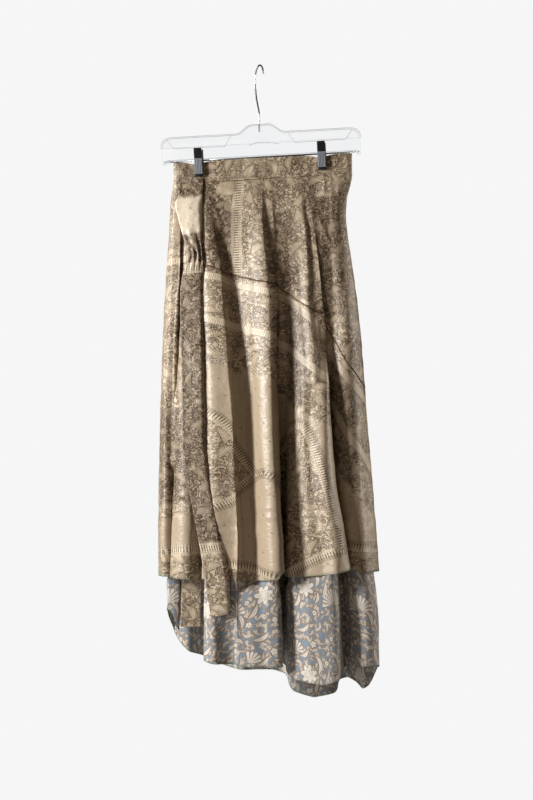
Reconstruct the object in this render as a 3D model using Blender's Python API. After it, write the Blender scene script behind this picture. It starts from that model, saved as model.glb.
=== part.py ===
"""Two-layer wrap skirt hanging from a clip hanger.

Metres, +Z up, -Y is the front of the skirt. The origin is the inside top of the hanger's hook,
where a rail bears. The skirt is one long wrap: it starts at a free edge on the front left, runs
to the right, round the back, and returns on the left to end under its own start.
"""

import math
from collections import namedtuple

import bmesh
import bpy
from mathutils import Vector

MM = 0.001

# Hanger.
TILT = math.radians(-3.2)
BAR_PIVOT_Z = -119 * MM
BAR_CENTRE_X = 2 * MM
BAR_HALF = 178 * MM
BAR_DROP = 40 * MM
BAR_UPPER = 18 * MM
BAR_PLATE_THICK = 4 * MM
BAR_UPPER_THICK = 9 * MM
HUB_RISE = 15 * MM
HUB_HALF_TOP = 17 * MM
HUB_HALF_FOOT = 38 * MM
LUG_LENGTH = 9 * MM
LUG_DROP = 7 * MM
ROD_CENTRE = -42.9 * MM
WIRE_RADIUS = 1.5 * MM
CLEAR = 0.3 * MM
HOOK_RADIUS = 19 * MM
HOOK_TURN = math.radians(-68)

# Clips, measured from the rod's centre.
CLIP_X = (-111 * MM, 108 * MM)
CLIP_WIDTH = 14 * MM
CLIP_SKEW = 2.4 * MM
CLIP_TOP = 21 * MM
CLIP_FOOT = -29.5 * MM
SPRING_TOP = 2.6 * MM
SPRING_FOOT = -24.8 * MM
SPRING_THICK = 0.8 * MM
SPRING_NECK = 5 * MM

# Cloth.
WALL = 1.0 * MM
BAND_WALL = 2.4 * MM
BAND_HEIGHT = 38 * MM
BAND_TOP_Z = -164.0 * MM
BAND_SLOPE = math.tan(-TILT)
BAND_DIP = 4.5 * MM
BAND_DIP_REACH = 16 * MM
LAYER_OFFSET = 0.7 * MM
LAYER_EASE = 2.4 * MM
LAYER_EASE_BY = 0.15
SEAM_GAP = 0.35 * MM
SEAM_STEP = 0.001
THIGH = 0.4
DEPTH_POWER = 0.75
COLUMN = 1 / 3
MITRE_LEAST = 0.6
BELOW_SPREAD = 0.3
CINCH = 15 * MM
CINCH_AT = 0.12
CINCH_FROM_X = 60 * MM
CINCH_TO_X = 165 * MM

# The wrap's folds in order along the cloth, in millimetres. waist_ is at the band's seam, thigh_ at
# 0.4 of the drop, hem_ at the overskirt's hem. late is the part of the fold's depth that opens only
# low down. pull is how far the underskirt has moved sideways by
# that hem, and under_z is the underskirt's own hem. seam is the share of the drop at which the
# overskirt's upper cloth is joined to its lower cloth.
Fold = namedtuple("Fold", "name waist_x waist_y thigh_x hem_x hem_y late hem_z pull under_z seam")
FOLDS = [
    Fold("free_edge", -108, -3.1, -102, -97, -50, 0, -907, 0, -1048, 0.205),
    Fold("lap_ridge", -92, -3.1, -84, -78, -66, 0, -908, 0, -1052, 0.215),
    Fold("lap_valley", -66, -5.0, -46, -40, -42, 0, -909, 0, -1055, 0.235),
    Fold("centre_ridge", -18, -6.0, 0, 4, -66, 0, -909, 0, -1057, 0.255),
    Fold("fold_edge", 0, -6.0, 22, 34, -63, 0, -904, 0, -1057, 0.265),
    Fold("tuck_left", 6, -5.6, 20, 26, -26, 36, -903, 0, -1058, 0.266),
    Fold("tuck_foot", 12, -5.4, 27, 35, 28, 88, -903, 0, -1062, 0.268),
    Fold("tuck_right", 18, -5.4, 36, 46, 10, 65, -903, 0, -1066, 0.27),
    Fold("panel_left", 26, -5.4, 41, 50.5, -42, 0, -903, 0, -1074, 0.277),
    Fold("panel_rise", 42, -5.4, 56, 74, -60, 0, -902, 0, -1083, 0.295),
    Fold("panel_ridge", 66, -4.6, 79, 116, -72, 0, -897, -5, -1086, 0.322),
    Fold("panel_edge", 84, -3.4, 99, 157, -60, 0, -888, -19, -1077, 0.345),
    Fold("edge_tuck", 102, -3.1, 113, 146, -14, 18, -890, 0, -1066, 0.362),
    Fold("side_left", 117, -3.1, 136, 163, -40, 0, -893, 0, -1060, 0.41),
    Fold("side_ridge", 138, -3.1, 163, 187, -52, 0, -895, -1, -1058, 0.475),
    Fold("side_slope", 156, -2.6, 183, 206, -32, 0, -896, -2, -1062, 0.515),
    Fold("right_side", 165, 0.6, 194, 215, -4, 0, -897, -4, -1068, 0.54),
    Fold("back_right_fold", 154, 4.4, 178, 203, 24, 0, -903, -2, -1098, 0.54),
    Fold("right_box", 146, 4.4, 168, 187, 27, 0, -908, 0, -1114, 0.54),
    Fold("right_box_wall", 140, 4.2, 160, 177, 60, 0, -912, 0, -1108, 0.54),
    Fold("back_ridge_a", 128, 3.6, 146, 160, 70, 0, -914, 0, -1101, 0.54),
    Fold("mid_box_wall_r", 114, 3.1, 131, 142, 60, 0, -915, 0, -1104, 0.54),
    Fold("mid_box_right", 106, 3.1, 121, 132, 26, 0, -917, 0, -1120, 0.54),
    Fold("mid_box", 80, 4.0, 92, 97, 19, 0, -918, 0, -1127, 0.54),
    Fold("mid_box_left", 50, 5.2, 58, 62, 26, 0, -917, 0, -1116, 0.54),
    Fold("mid_box_wall_l", 42, 5.4, 49, 51, 60, 0, -915, 0, -1094, 0.54),
    Fold("back_ridge_b", 20, 5.8, 25, 27, 72, 0, -914, 0, -1088, 0.54),
    Fold("back_slope", -6, 6.0, -5, -2, 56, 0, -914, 0, -1084, 0.54),
    Fold("back_valley_a", -34, 5.8, -36, -36, 36, 0, -915, 0, -1080, 0.54),
    Fold("back_ridge_c", -72, 4.6, -78, -78, 66, 0, -914, 0, -1072, 0.54),
    Fold("back_ridge_d", -92, 3.1, -98, -101, 68, 0, -913, 0, -1062, 0.54),
    Fold("back_valley_b", -116, 3.1, -126, -128, 40, 0, -912, 0, -1048, 0.54),
    Fold("back_ridge_e", -136, 4.2, -151, -157, 56, 0, -911, 2, -1012, 0.54),
    Fold("back_left_fold", -148, 3.8, -165, -172, 38, 0, -910, 6, -985, 0.54),
    Fold("left_side", -152, 0.4, -170, -177, 14, 0, -908, 9, -966, 0.54),
    Fold("side_ridge_left", -146, -3.2, -161, -166, -24, 0, -904, 4, -965, 0.54),
    Fold("side_valley_left", -134, -2.8, -142, -151, -16, 0, -904, 0, -985, 0.54),
    Fold("lap_side_left", -130, -2.4, -138, -153, -40, 0, -905, 0, -995, 0.54),
    Fold("lap_side_ridge", -122, -1.6, -124, -131, -54, 0, -907, 0, -1000, 0.54),
    Fold("lap_side_right", -112, 0.0, -108, -108, -44, 0, -909, 0, -1004, 0.54),
    Fold("lap_under", -99, 0.0, -92, -86, -30, 0, -909, 0, -1008, 0.54),
    Fold("inner_edge", -82, 0.0, -66, -48, -30, 0, -909, 0, -1010, 0.54),
]
INDEX = {fold.name: number for number, fold in enumerate(FOLDS)}

# The same folds of the left side as the underskirt takes them. Its inner edge is free below the
# band, so it leaves the lap and swings round to the left.
UNDER_SIDE = [
    Fold("left_side", -152, 0.4, -170, -177, 14, 0, -908, 9, -966, 0.54),
    Fold("side_ridge_left", -146, -3.2, -158, -164, -8, 0, -904, 0, -965, 0.54),
    Fold("side_valley_left", -134, -2.8, -150, -159, -11, 0, -904, 0, -968, 0.54),
    Fold("lap_side_left", -130, -2.4, -143, -154, -11, 0, -905, 0, -975, 0.54),
    Fold("lap_side_ridge", -122, -1.6, -135, -150, -11, 0, -907, 0, -985, 0.54),
    Fold("lap_side_right", -112, 0.0, -126, -146, -10, 0, -909, 0, -993, 0.54),
    Fold("lap_under", -99, 0.0, -116, -142, -9, 0, -909, 0, -1000, 0.54),
    Fold("inner_edge", -82, 0.0, -104, -138, -7, 0, -909, 0, -1003, 0.54),
]

# Rows down the cloth: 0 at the waist, 1 at the overskirt's cross seam, 2 at its hem and 3 at the
# underskirt's hem. Both layers share them, so that one lies evenly inside the other.
ROWS_UPPER = (0, 0.16, 0.36, 0.66, 1)
ROWS_LOWER = (1, 1.2, 1.45, 1.72, 2)
ROWS_BELOW = (2.5, 3)

# The rows between which the underskirt's pieces lie: its front is joined across once, lower than
# the overskirt's, and its back twice.
UNDER_PIECES = {
    "front_upper": (0, 1.45),
    "front_lower": (1.45, 3),
    "back_upper": (0, 1),
    "back_middle": (1, 1.45),
    "back_lower": (1.45, 3),
}

# The outer tie, hanging from the band's free end: height, left and right edge, and how far it
# stands off the cloth behind, in millimetres.
Section = namedtuple("Section", "z left right off")
OUTER_TIE = [
    Section(-199, -118, -100, 3.1),
    Section(-206, -124, -99, 3.4),
    Section(-214, -130, -99, 3.8),
    Section(-232, -142, -100, 4.6),
    Section(-247, -149, -101, 5.2),
    Section(-270, -144, -101, 6.0),
    Section(-297, -137, -101, 7.5),
    Section(-320, -130, -101, 9.0),
    Section(-337, -123, -101, 10.0),
    Section(-352, -127, -99, 8.5),
    Section(-370, -134, -98, 6.0),
    Section(-392, -138, -98, 4.0),
    Section(-440, -139, -97, 3.0),
    Section(-506, -137, -95, 3.0),
    Section(-595, -135, -94, 3.0),
    Section(-665, -134, -92, 3.0),
    Section(-703, -130, -88, 3.0),
    Section(-742, -124, -82, 3.0),
    Section(-787, -115, -74, 3.0),
    Section(-845, -104, -62, 3.0),
    Section(-905, -94, -52, 3.0),
    Section(-938, -89, -51, 3.0),
    Section(-968, -83, -49, 3.0),
]
TIE_FRONT_WAIST = -3.1
TIE_FRONT_HEM = -67.5
TIE_SLANT = 6.0

# The inner tie, hanging inside from the band's inner end.
INNER_TIE = [
    Section(-169, -81.4, -58, 0),
    Section(-206, -81, -46, 0.2),
    Section(-222, -81.4, -46, 1.0),
    Section(-300, -88, -52, 1),
    Section(-450, -98, -62, -2),
    Section(-620, -113, -77, -6),
    Section(-800, -128, -92, -10),
    Section(-920, -137, -101, -12),
    Section(-996, -139, -103, -12),
]

COLOURS = {
    "silk": (0.42, 0.32, 0.20, 0.45, 0.0),
    "print": (0.23, 0.30, 0.40, 0.6, 0.0),
    "clear": (0.88, 0.90, 0.92, 0.1, 0.0),
    "steel": (0.6, 0.62, 0.65, 0.25, 1.0),
    "rubber": (0.02, 0.02, 0.02, 0.5, 0.0),
}


def material(name):
    """The named material, made once from its colour, roughness and metallic value."""
    made = bpy.data.materials.get(name)
    if made is None:
        red, green, blue, rough, metal = COLOURS[name]
        made = bpy.data.materials.new(name)
        made.use_nodes = True
        shader = made.node_tree.nodes["Principled BSDF"]
        shader.inputs["Base Color"].default_value = (red, green, blue, 1)
        shader.inputs["Roughness"].default_value = rough
        shader.inputs["Metallic"].default_value = metal
    return made


def collection(name, hidden=False):
    """A new collection linked to the scene."""
    made = bpy.data.collections.new(name)
    made.hide_render = hidden
    bpy.context.scene.collection.children.link(made)
    return made


def add_mesh(name, mesh, place, finish):
    """An object for the mesh, in a collection, with its material."""
    obj = bpy.data.objects.new(name, mesh)
    place.objects.link(obj)
    obj.data.materials.append(material(finish))
    return obj


def depth_share(drop):
    """How much of the hem's fold depth has opened at a share of the drop."""
    if drop <= 1:
        return max(drop, 0) ** DEPTH_POWER
    return 1 + DEPTH_POWER * (drop - 1)


def through(waist, thigh, hem, drop):
    """The parabola through the waist, thigh and hem values, carried on straight below the hem."""
    share = min(drop, 1)
    value = (
        waist * (share - THIGH) * (share - 1) / THIGH
        + thigh * share * (share - 1) / (THIGH * (THIGH - 1))
        + hem * share * (share - THIGH) / (1 - THIGH)
    )
    return value + BELOW_SPREAD * (drop - share) * (hem - thigh) / (1 - THIGH)


def cinch(waist_x, drop):
    """How far the cloth draws in below the band on the right."""
    reach = min(max((waist_x - CINCH_FROM_X) / (CINCH_TO_X - CINCH_FROM_X), 0), 1)
    pull = drop / CINCH_AT * math.exp(1 - drop / CINCH_AT)
    return CINCH * reach * pull * pull


def fold_point(folds, number, drop, pulled):
    """Plan position of one fold at a share of the drop, for either layer."""
    fold = folds[min(max(number, 0), len(folds) - 1)]
    x = through(fold.waist_x, fold.thigh_x, fold.hem_x, drop) + pulled * fold.pull * drop
    early = fold.hem_y - fold.late - fold.waist_y
    y = fold.waist_y + early * depth_share(drop) + fold.late * min(drop, 1) ** 2
    return Vector((x * MM - cinch(fold.waist_x * MM, drop), y * MM))


def spline(before, start, end, after, share):
    """Catmull-Rom interpolation from start to end."""
    square, cube = share * share, share * share * share
    return 0.5 * (
        2 * start
        + (end - before) * share
        + (2 * before - 5 * start + 4 * end - after) * square
        + (3 * start - before - 3 * end + after) * cube
    )


def plan(place, drop, folds=FOLDS, pulled=False):
    """Plan position of the cloth at a place along the folds."""
    low = min(max(int(place), 0), len(folds) - 2)
    points = [fold_point(folds, low + step, drop, pulled) for step in (-1, 0, 1, 2)]
    return spline(*points, place - low)


def seam_side(place):
    """-1 just before a side seam, 1 just after one, and 0 anywhere else."""
    beyond = place - round(place)
    return math.copysign(1, beyond) if 0 < abs(beyond) < 0.1 else 0


def stand_off(place, drop, distance, folds=FOLDS, pulled=False):
    """Plan position of a surface that runs a distance outside the folds, mitred at a turn.

    Both edges of a seam are offset alike, so that they stay parallel with half the gap each.
    """
    side = seam_side(place)
    if side:
        place = round(place)
    here = plan(place, drop, folds, pulled)
    before = here - plan(place - COLUMN, drop, folds, pulled)
    after = plan(place + COLUMN, drop, folds, pulled) - here
    if place - COLUMN < 0:
        before = after
    if place + COLUMN > len(folds) - 1:
        after = before
    first = Vector((before.y, -before.x)).normalized()
    second = Vector((after.y, -after.x)).normalized()
    out = (first + second) / max(1 + first.dot(second), MITRE_LEAST)
    run = Vector((-out.y, out.x)).normalized()
    return here + out * distance + run * (side * SEAM_GAP / 2)


def band_foot(x):
    """Height of the waistband's lower edge."""
    return BAND_TOP_Z - BAND_HEIGHT + BAND_SLOPE * x


def band_top(x):
    """Height of the waistband's upper edge, pressed down where a clip holds it."""
    dip = sum(math.exp(-(((x - clip) / BAND_DIP_REACH) ** 2)) for clip in CLIP_X)
    return BAND_TOP_Z + BAND_SLOPE * x - BAND_DIP * min(dip, 1)


def column(folds, name, place):
    """One column of a fold table at a place, in metres."""
    low = min(int(place), len(folds) - 2)
    before, after = getattr(folds[low], name), getattr(folds[low + 1], name)
    return (before + (after - before) * (place - low)) * MM


def waist_z(place, folds):
    """Height of the cloth's top edge, just under the band."""
    return band_foot(column(folds, "waist_x", place)) - SEAM_GAP


def height(place, drop, folds=FOLDS):
    """Height of the cloth: the waist seam at drop 0, the overskirt's hem at drop 1."""
    top = waist_z(place, folds)
    return top + (column(folds, "hem_z", place) - top) * drop


def overskirt_point(place, drop, off):
    """A point that stands off the middle of the overskirt's wall, off metres outward."""
    spot = stand_off(place, drop, LAYER_OFFSET + off)
    return Vector((spot.x, spot.y, height(place, drop)))


def underskirt_point(place, drop, off, folds=FOLDS):
    """The same for the underskirt, which draws in as it drops."""
    inset = LAYER_OFFSET + LAYER_EASE * min(drop / LAYER_EASE_BY, 1)
    spot = stand_off(place, drop, off - inset, folds, True)
    return Vector((spot.x, spot.y, height(place, drop, folds)))


def drop_of(place, row, folds=FOLDS):
    """The share of the overskirt's drop at a row."""
    seam = column(folds, "seam", place) / MM
    if row <= 1:
        return seam * row
    if row <= 2:
        return seam + (1 - seam) * (row - 1)
    top = waist_z(place, folds)
    hem = (column(folds, "under_z", place) - top) / (column(folds, "hem_z", place) - top)
    return 1 + (hem - 1) * (row - 2)


def sheet(name, across, down, point, wall, place, finish):
    """A cloth wall: a grid and its extruded copy, moved onto point(across, down, offset)."""
    columns, rows = len(across) - 1, len(down) - 1
    bm = bmesh.new()
    bmesh.ops.create_grid(bm, x_segments=columns, y_segments=rows, size=0.5)
    inner = set(bm.verts)
    bmesh.ops.extrude_face_region(bm, geom=bm.faces[:], use_keep_orig=True)
    for vert in bm.verts:
        column = round((vert.co.x + 0.5) * columns)
        row = round((0.5 - vert.co.y) * rows)
        side = -wall / 2 if vert in inner else wall / 2
        vert.co = point(across[column], down[row], side)
    bmesh.ops.recalc_face_normals(bm, faces=bm.faces)
    mesh = bpy.data.meshes.new(name)
    bm.to_mesh(mesh)
    bm.free()
    mesh.shade_smooth()
    return add_mesh(name, mesh, place, finish)


def places(first, last, steps, trim_first=0.0, trim_last=0.0):
    """Evenly spaced places from one named fold to another, steps to each fold."""
    start, end = INDEX[first] + trim_first, INDEX[last] - trim_last
    count = round((end - start) * steps)
    return [start + (end - start) * number / count for number in range(count + 1)]


def panel_places():
    """The places of the columns of the front, the back and the left side, which meet at seams."""
    return {
        "front": places("free_edge", "right_side", 3, 0, SEAM_STEP),
        "back": places("right_side", "left_side", 2, SEAM_STEP, SEAM_STEP),
        "side": places("left_side", "inner_edge", 3, SEAM_STEP),
    }


def build_overskirt(place):
    """The overskirt: front and back, each joined across, and the left side in one piece."""
    half = SEAM_GAP / 2

    def whole(spot, row, off):
        return overskirt_point(spot, drop_of(spot, row), off)

    def raised(spot, row, off):
        return whole(spot, row, off) + Vector((0, 0, half * row))

    def lowered(spot, row, off):
        return whole(spot, row, off) - Vector((0, 0, half * (2 - row)))

    across = panel_places()
    for name in ("front", "back"):
        sheet(f"overskirt_{name}_upper", across[name], ROWS_UPPER, raised, WALL, place, "silk")
        sheet(f"overskirt_{name}_lower", across[name], ROWS_LOWER, lowered, WALL, place, "silk")
    rows = ROWS_UPPER + ROWS_LOWER[1:]
    sheet("overskirt_side", across["side"], rows, whole, WALL, place, "silk")


def build_underskirt(place):
    """The underskirt: front and back, each joined across, and the left side in one piece."""
    first = INDEX["left_side"]
    half = SEAM_GAP / 2

    def whole(spot, row, off):
        return underskirt_point(spot, drop_of(spot, row), off)

    def side(spot, row, off):
        if spot - first < 0.1:
            return whole(spot, row, off)
        drop = drop_of(spot - first, row, UNDER_SIDE)
        return underskirt_point(spot - first, drop, off, UNDER_SIDE)

    rows = ROWS_UPPER + ROWS_LOWER[1:] + ROWS_BELOW
    across = panel_places()
    for name, (top, foot) in UNDER_PIECES.items():

        def parted(spot, row, off):
            """Moved half a seam's gap from each cross seam, and none at the waist and hem."""
            share = (row - top) / (foot - top)
            lift = half * share if foot < 3 else 0
            fall = half * (1 - share) if top > 0 else 0
            return whole(spot, row, off) + Vector((0, 0, lift - fall))

        taken = rows[rows.index(top) : rows.index(foot) + 1]
        columns = across[name.split("_")[0]]
        sheet(f"underskirt_{name}", columns, taken, parted, WALL, place, "print")
    sheet("underskirt_side", across["side"], rows, side, WALL, place, "print")


def build_waistband(place):
    """The folded band round the top, from the outer free end to the inner one."""

    def point(spot, share, off):
        middle = plan(spot, 0)
        foot = band_foot(middle.x)
        flat = stand_off(spot, 0, off)
        return Vector((flat.x, flat.y, foot + (band_top(middle.x) - foot) * (1 - share)))

    across = places("free_edge", "inner_edge", 2)
    sheet("waistband", across, (0, 1), point, BAND_WALL, place, "silk")


def section_at(sections, share):
    """Height, left, right and depth of a tie at a share of its rows, in metres."""
    spot = share * (len(sections) - 1)
    return [column(sections, name, spot) for name in Section._fields]


def build_outer_tie(place):
    """The tie that hangs down the front from the band's free end."""
    seam_z = band_foot(-0.1)
    hem_z = -0.907

    def point(across, down, side):
        z, left, right, off = section_at(OUTER_TIE, down)
        drop = (z - seam_z) / (hem_z - seam_z)
        lie = TIE_FRONT_WAIST + (TIE_FRONT_HEM - TIE_FRONT_WAIST) * depth_share(min(drop, 1))
        cup = math.cos((across - 0.5) * math.pi)
        slant = TIE_SLANT * MM * (0.5 - across) * min(max(down - 0.95, 0) * 20, 1)
        depth = lie * MM - off * (0.7 + 0.3 * cup) - side
        return Vector((left + (right - left) * across, depth, z - slant))

    rows = [number / (2 * (len(OUTER_TIE) - 1)) for number in range(2 * len(OUTER_TIE) - 1)]
    sheet("tie_outer", (0, 0.25, 0.5, 0.75, 1), rows, point, WALL, place, "silk")


def build_inner_tie(place):
    """The tie that hangs inside from the band's inner end."""
    def point(across, down, side):
        z, left, right, lie = section_at(INNER_TIE, down)
        return Vector((left + (right - left) * across, lie - side, z))

    rows = [number / (2 * (len(INNER_TIE) - 1)) for number in range(2 * len(INNER_TIE) - 1)]
    sheet("tie_inner", (0, 0.5, 1), rows, point, WALL, place, "silk")


def outline(name, corners, thick, place):
    """A flat plate with the outline given as (x, y) corners, half its thickness each side."""
    curve = bpy.data.curves.new(name, "CURVE")
    curve.dimensions = "2D"
    curve.fill_mode = "BOTH"
    curve.extrude = thick / 2
    line = curve.splines.new("POLY")
    line.points.add(len(corners) - 1)
    for point, (x, y) in zip(line.points, corners):
        point.co = (x, y, 0, 1)
    line.use_cyclic_u = True
    obj = bpy.data.objects.new(name, curve)
    place.objects.link(obj)
    return obj


def as_mesh(obj, finish, frame, turn, spot=(0, 0, 0)):
    """A welded mesh object in place of a curve, turned and moved, and held by the frame empty."""
    place = obj.users_collection[0]
    graph = bpy.context.evaluated_depsgraph_get()
    mesh = bpy.data.meshes.new_from_object(obj.evaluated_get(graph))
    bm = bmesh.new()
    bm.from_mesh(mesh)
    bmesh.ops.remove_doubles(bm, verts=bm.verts, dist=0.00001)
    bmesh.ops.recalc_face_normals(bm, faces=bm.faces)
    bm.to_mesh(mesh)
    bm.free()
    name = obj.name
    bpy.data.objects.remove(obj)
    made = add_mesh(name, mesh, place, finish)
    made.rotation_euler = turn
    made.location = spot
    made.parent = frame
    return made


def cylinder(name, radius, length, place):
    """A closed cylinder along Z, centred on its own origin."""
    bm = bmesh.new()
    bmesh.ops.create_cone(
        bm, cap_ends=True, segments=16, radius1=radius, radius2=radius, depth=length
    )
    mesh = bpy.data.meshes.new(name)
    bm.to_mesh(mesh)
    bm.free()
    return add_mesh(name, mesh, place, "steel")


def box(name, size, spot, place, frame):
    """A closed box of the given size, centred on a spot of the frame."""
    bm = bmesh.new()
    bmesh.ops.create_cube(bm, size=1)
    bmesh.ops.scale(bm, vec=size, verts=bm.verts)
    mesh = bpy.data.meshes.new(name)
    bm.to_mesh(mesh)
    bm.free()
    obj = add_mesh(name, mesh, place, "steel")
    obj.location = spot
    obj.parent = frame
    return obj


def boolean(obj, other, operation):
    """Joins other to obj, or cuts it out of obj."""
    cut = obj.modifiers.new(other.name, "BOOLEAN")
    cut.operation = operation
    cut.object = other
    cut.solver = "EXACT"


def build_bar(place, cutters, frame):
    """The clear bar: a thick upper band with the hub, a thin plate below, and a lug at each end."""
    upright = (math.pi / 2, 0, 0)
    low = -BAR_UPPER
    upper = [
        (-BAR_HALF, low),
        (BAR_HALF, low),
        (BAR_HALF, -14 * MM),
        (BAR_HALF - 6 * MM, -4 * MM),
        (BAR_HALF - 18 * MM, 0),
        (HUB_HALF_FOOT, 0),
        (HUB_HALF_TOP + 4 * MM, HUB_RISE - 2 * MM),
        (HUB_HALF_TOP, HUB_RISE),
        (-HUB_HALF_TOP, HUB_RISE),
        (-HUB_HALF_TOP - 4 * MM, HUB_RISE - 2 * MM),
        (-HUB_HALF_FOOT, 0),
        (-BAR_HALF + 18 * MM, 0),
        (-BAR_HALF + 6 * MM, -4 * MM),
        (-BAR_HALF, -14 * MM),
    ]
    foot = -BAR_DROP
    lug = foot - LUG_DROP
    inner = BAR_HALF - LUG_LENGTH
    edge = BAR_HALF - 1 * MM
    plate = [
        (-edge, lug),
        (-inner, lug),
        (-inner, foot),
        (inner, foot),
        (inner, lug),
        (edge, lug),
        (edge, low + 2 * MM),
        (-edge, low + 2 * MM),
    ]
    at = (BAR_CENTRE_X, 0, 0)
    bar = as_mesh(outline("hanger_bar", upper, BAR_UPPER_THICK, place), "clear", frame, upright, at)
    lower = outline("bar_plate", plate, BAR_PLATE_THICK, cutters)
    boolean(bar, as_mesh(lower, "clear", frame, upright, at), "UNION")
    well = cylinder("stem_hole", WIRE_RADIUS + CLEAR, 2 * HUB_RISE, cutters)
    well.parent = frame
    well_z = HUB_RISE - 2 * MM
    well.location = (-well_z * math.tan(TILT), 0, well_z)
    well.rotation_euler = (0, -TILT, 0)
    boolean(bar, well, "DIFFERENCE")
    bore = cylinder("rod_bore", WIRE_RADIUS + CLEAR, 2 * BAR_HALF - 5 * MM, cutters)
    bore.parent = frame
    bore.location = (BAR_CENTRE_X, 0, ROD_CENTRE)
    bore.rotation_euler = (0, math.pi / 2, 0)
    boolean(bar, bore, "DIFFERENCE")


def wire(name, points, place, frame=None):
    """A steel wire along the points."""
    curve = bpy.data.curves.new(name, "CURVE")
    curve.dimensions = "3D"
    curve.bevel_depth = WIRE_RADIUS
    curve.bevel_resolution = 2
    curve.use_fill_caps = True
    line = curve.splines.new("POLY")
    line.points.add(len(points) - 1)
    for point, (x, y, z) in zip(line.points, points):
        point.co = (x, y, z, 1)
    obj = bpy.data.objects.new(name, curve)
    place.objects.link(obj)
    obj.data.materials.append(material("steel"))
    obj.parent = frame
    return obj


def hook_route():
    """The hook's line in its own plane, from the stem's foot to the tip, as (across, height)."""
    stem = [(0, -117), (0, -100), (0, -86), (-3, -77), (-8, -67), (-13, -56), (-16.5, -44), (-18.5, -31)]
    route = [(across * MM, z * MM) for across, z in stem]
    centre_z = WIRE_RADIUS - HOOK_RADIUS
    for step in range(19):
        turn = math.radians(-90 + step * 10)
        route.append((HOOK_RADIUS * math.sin(turn), centre_z + HOOK_RADIUS * math.cos(turn)))
    return route


def build_hook(place):
    """The wire hook, turned about its stem."""
    points = [
        (across * math.cos(HOOK_TURN), across * math.sin(HOOK_TURN), z) for across, z in hook_route()
    ]
    wire("hanger_hook", points, place)


def build_clip(side, x, place, cutters, frame):
    """One clip: a front and a back jaw that straddle the rod, and the spring round their side."""
    grip = -(3.1 * MM + BAND_WALL / 2 + CLEAR)
    hub = -(WIRE_RADIUS + CLEAR)
    back = -9.3 * MM
    jaw = [
        (back - 3.5 * MM, CLIP_TOP),
        (back, SPRING_TOP + 1 * MM),
        (back, CLIP_FOOT + 1.5 * MM),
        (back + 1.5 * MM, CLIP_FOOT),
        (grip, CLIP_FOOT),
        (grip, -3 * MM),
        (hub, -3 * MM),
        (hub, 1.4 * MM),
        (grip - 1 * MM, 3 * MM),
        (back - 1 * MM, CLIP_TOP),
    ]
    # The outline's first axis becomes the front-back one, its second the height.
    sideways = (math.pi / 2, 0, math.pi / 2)
    front = as_mesh(outline(f"clip_{side}_front", jaw, CLIP_WIDTH, place), "rubber", frame, sideways)
    front.location = (x, 0, ROD_CENTRE)
    mirrored = [(-y, z) for y, z in jaw]
    rear = as_mesh(outline(f"clip_{side}_back", mirrored, CLIP_WIDTH, place), "rubber", frame, sideways)
    rear.location = (x + CLIP_SKEW, 0, ROD_CENTRE)
    # The spring: a plate on each jaw, joined by a neck that passes over the rod through both jaws.
    face = -back + CLEAR
    middle = face + SPRING_THICK / 2
    drop = SPRING_TOP - SPRING_FOOT
    plate_z = ROD_CENTRE + (SPRING_TOP + SPRING_FOOT) / 2
    neck_z = ROD_CENTRE + SPRING_TOP - SPRING_THICK / 2
    plate = (CLIP_WIDTH, SPRING_THICK, drop)
    spring = box(f"clip_{side}_spring", plate, (x, -middle, plate_z), place, frame)
    far_at = (x + CLIP_SKEW, middle, plate_z)
    far_plate = box(f"clip_{side}_far_plate", plate, far_at, cutters, frame)
    neck = (SPRING_NECK, 2 * middle, SPRING_THICK)
    boolean(spring, box(f"clip_{side}_neck", neck, (x, 0, neck_z), cutters, frame), "UNION")
    boolean(spring, far_plate, "UNION")
    slot = (SPRING_NECK + 2 * CLEAR, 4 * middle, SPRING_THICK + 2 * CLEAR)
    cut = box(f"clip_{side}_slot", slot, (x, 0, neck_z), cutters, frame)
    boolean(front, cut, "DIFFERENCE")
    boolean(rear, cut, "DIFFERENCE")


def build_hanger(place, cutters):
    """Bar, hook, rod and the two clips, the bar and what it carries tilted together."""
    frame = bpy.data.objects.new("hanger_frame", None)
    place.objects.link(frame)
    frame.location = (0, 0, BAR_PIVOT_Z)
    frame.rotation_euler = (0, TILT, 0)
    build_bar(place, cutters, frame)
    build_hook(place)
    half = BAR_HALF - 4 * MM
    ends = [(BAR_CENTRE_X - half, 0, ROD_CENTRE), (BAR_CENTRE_X + half, 0, ROD_CENTRE)]
    wire("hanger_rod", ends, place, frame)
    for side, x in zip(("left", "right"), CLIP_X):
        build_clip(side, x, place, cutters, frame)


def main():
    """Clears the scene and builds the skirt on its hanger."""
    for obj in list(bpy.data.objects):
        bpy.data.objects.remove(obj)
    skirt = collection("wrap_skirt")
    cutters = collection("cutters", hidden=True)
    build_waistband(skirt)
    build_overskirt(skirt)
    build_underskirt(skirt)
    build_outer_tie(skirt)
    build_inner_tie(skirt)
    build_hanger(skirt, cutters)
    for obj in cutters.objects:
        obj.hide_render = True
        obj.display_type = "WIRE"


main()
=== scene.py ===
"""Looks of the two-layer wrap skirt that hangs from a clip hanger.

Metres, +Z up, -Y is the front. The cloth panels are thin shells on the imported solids' form, from
the same folds, with their creases, prints and stitching. The print of each panel is drawn in
the panel's own flat cut, so it follows the folds as printed silk does.
"""

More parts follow.
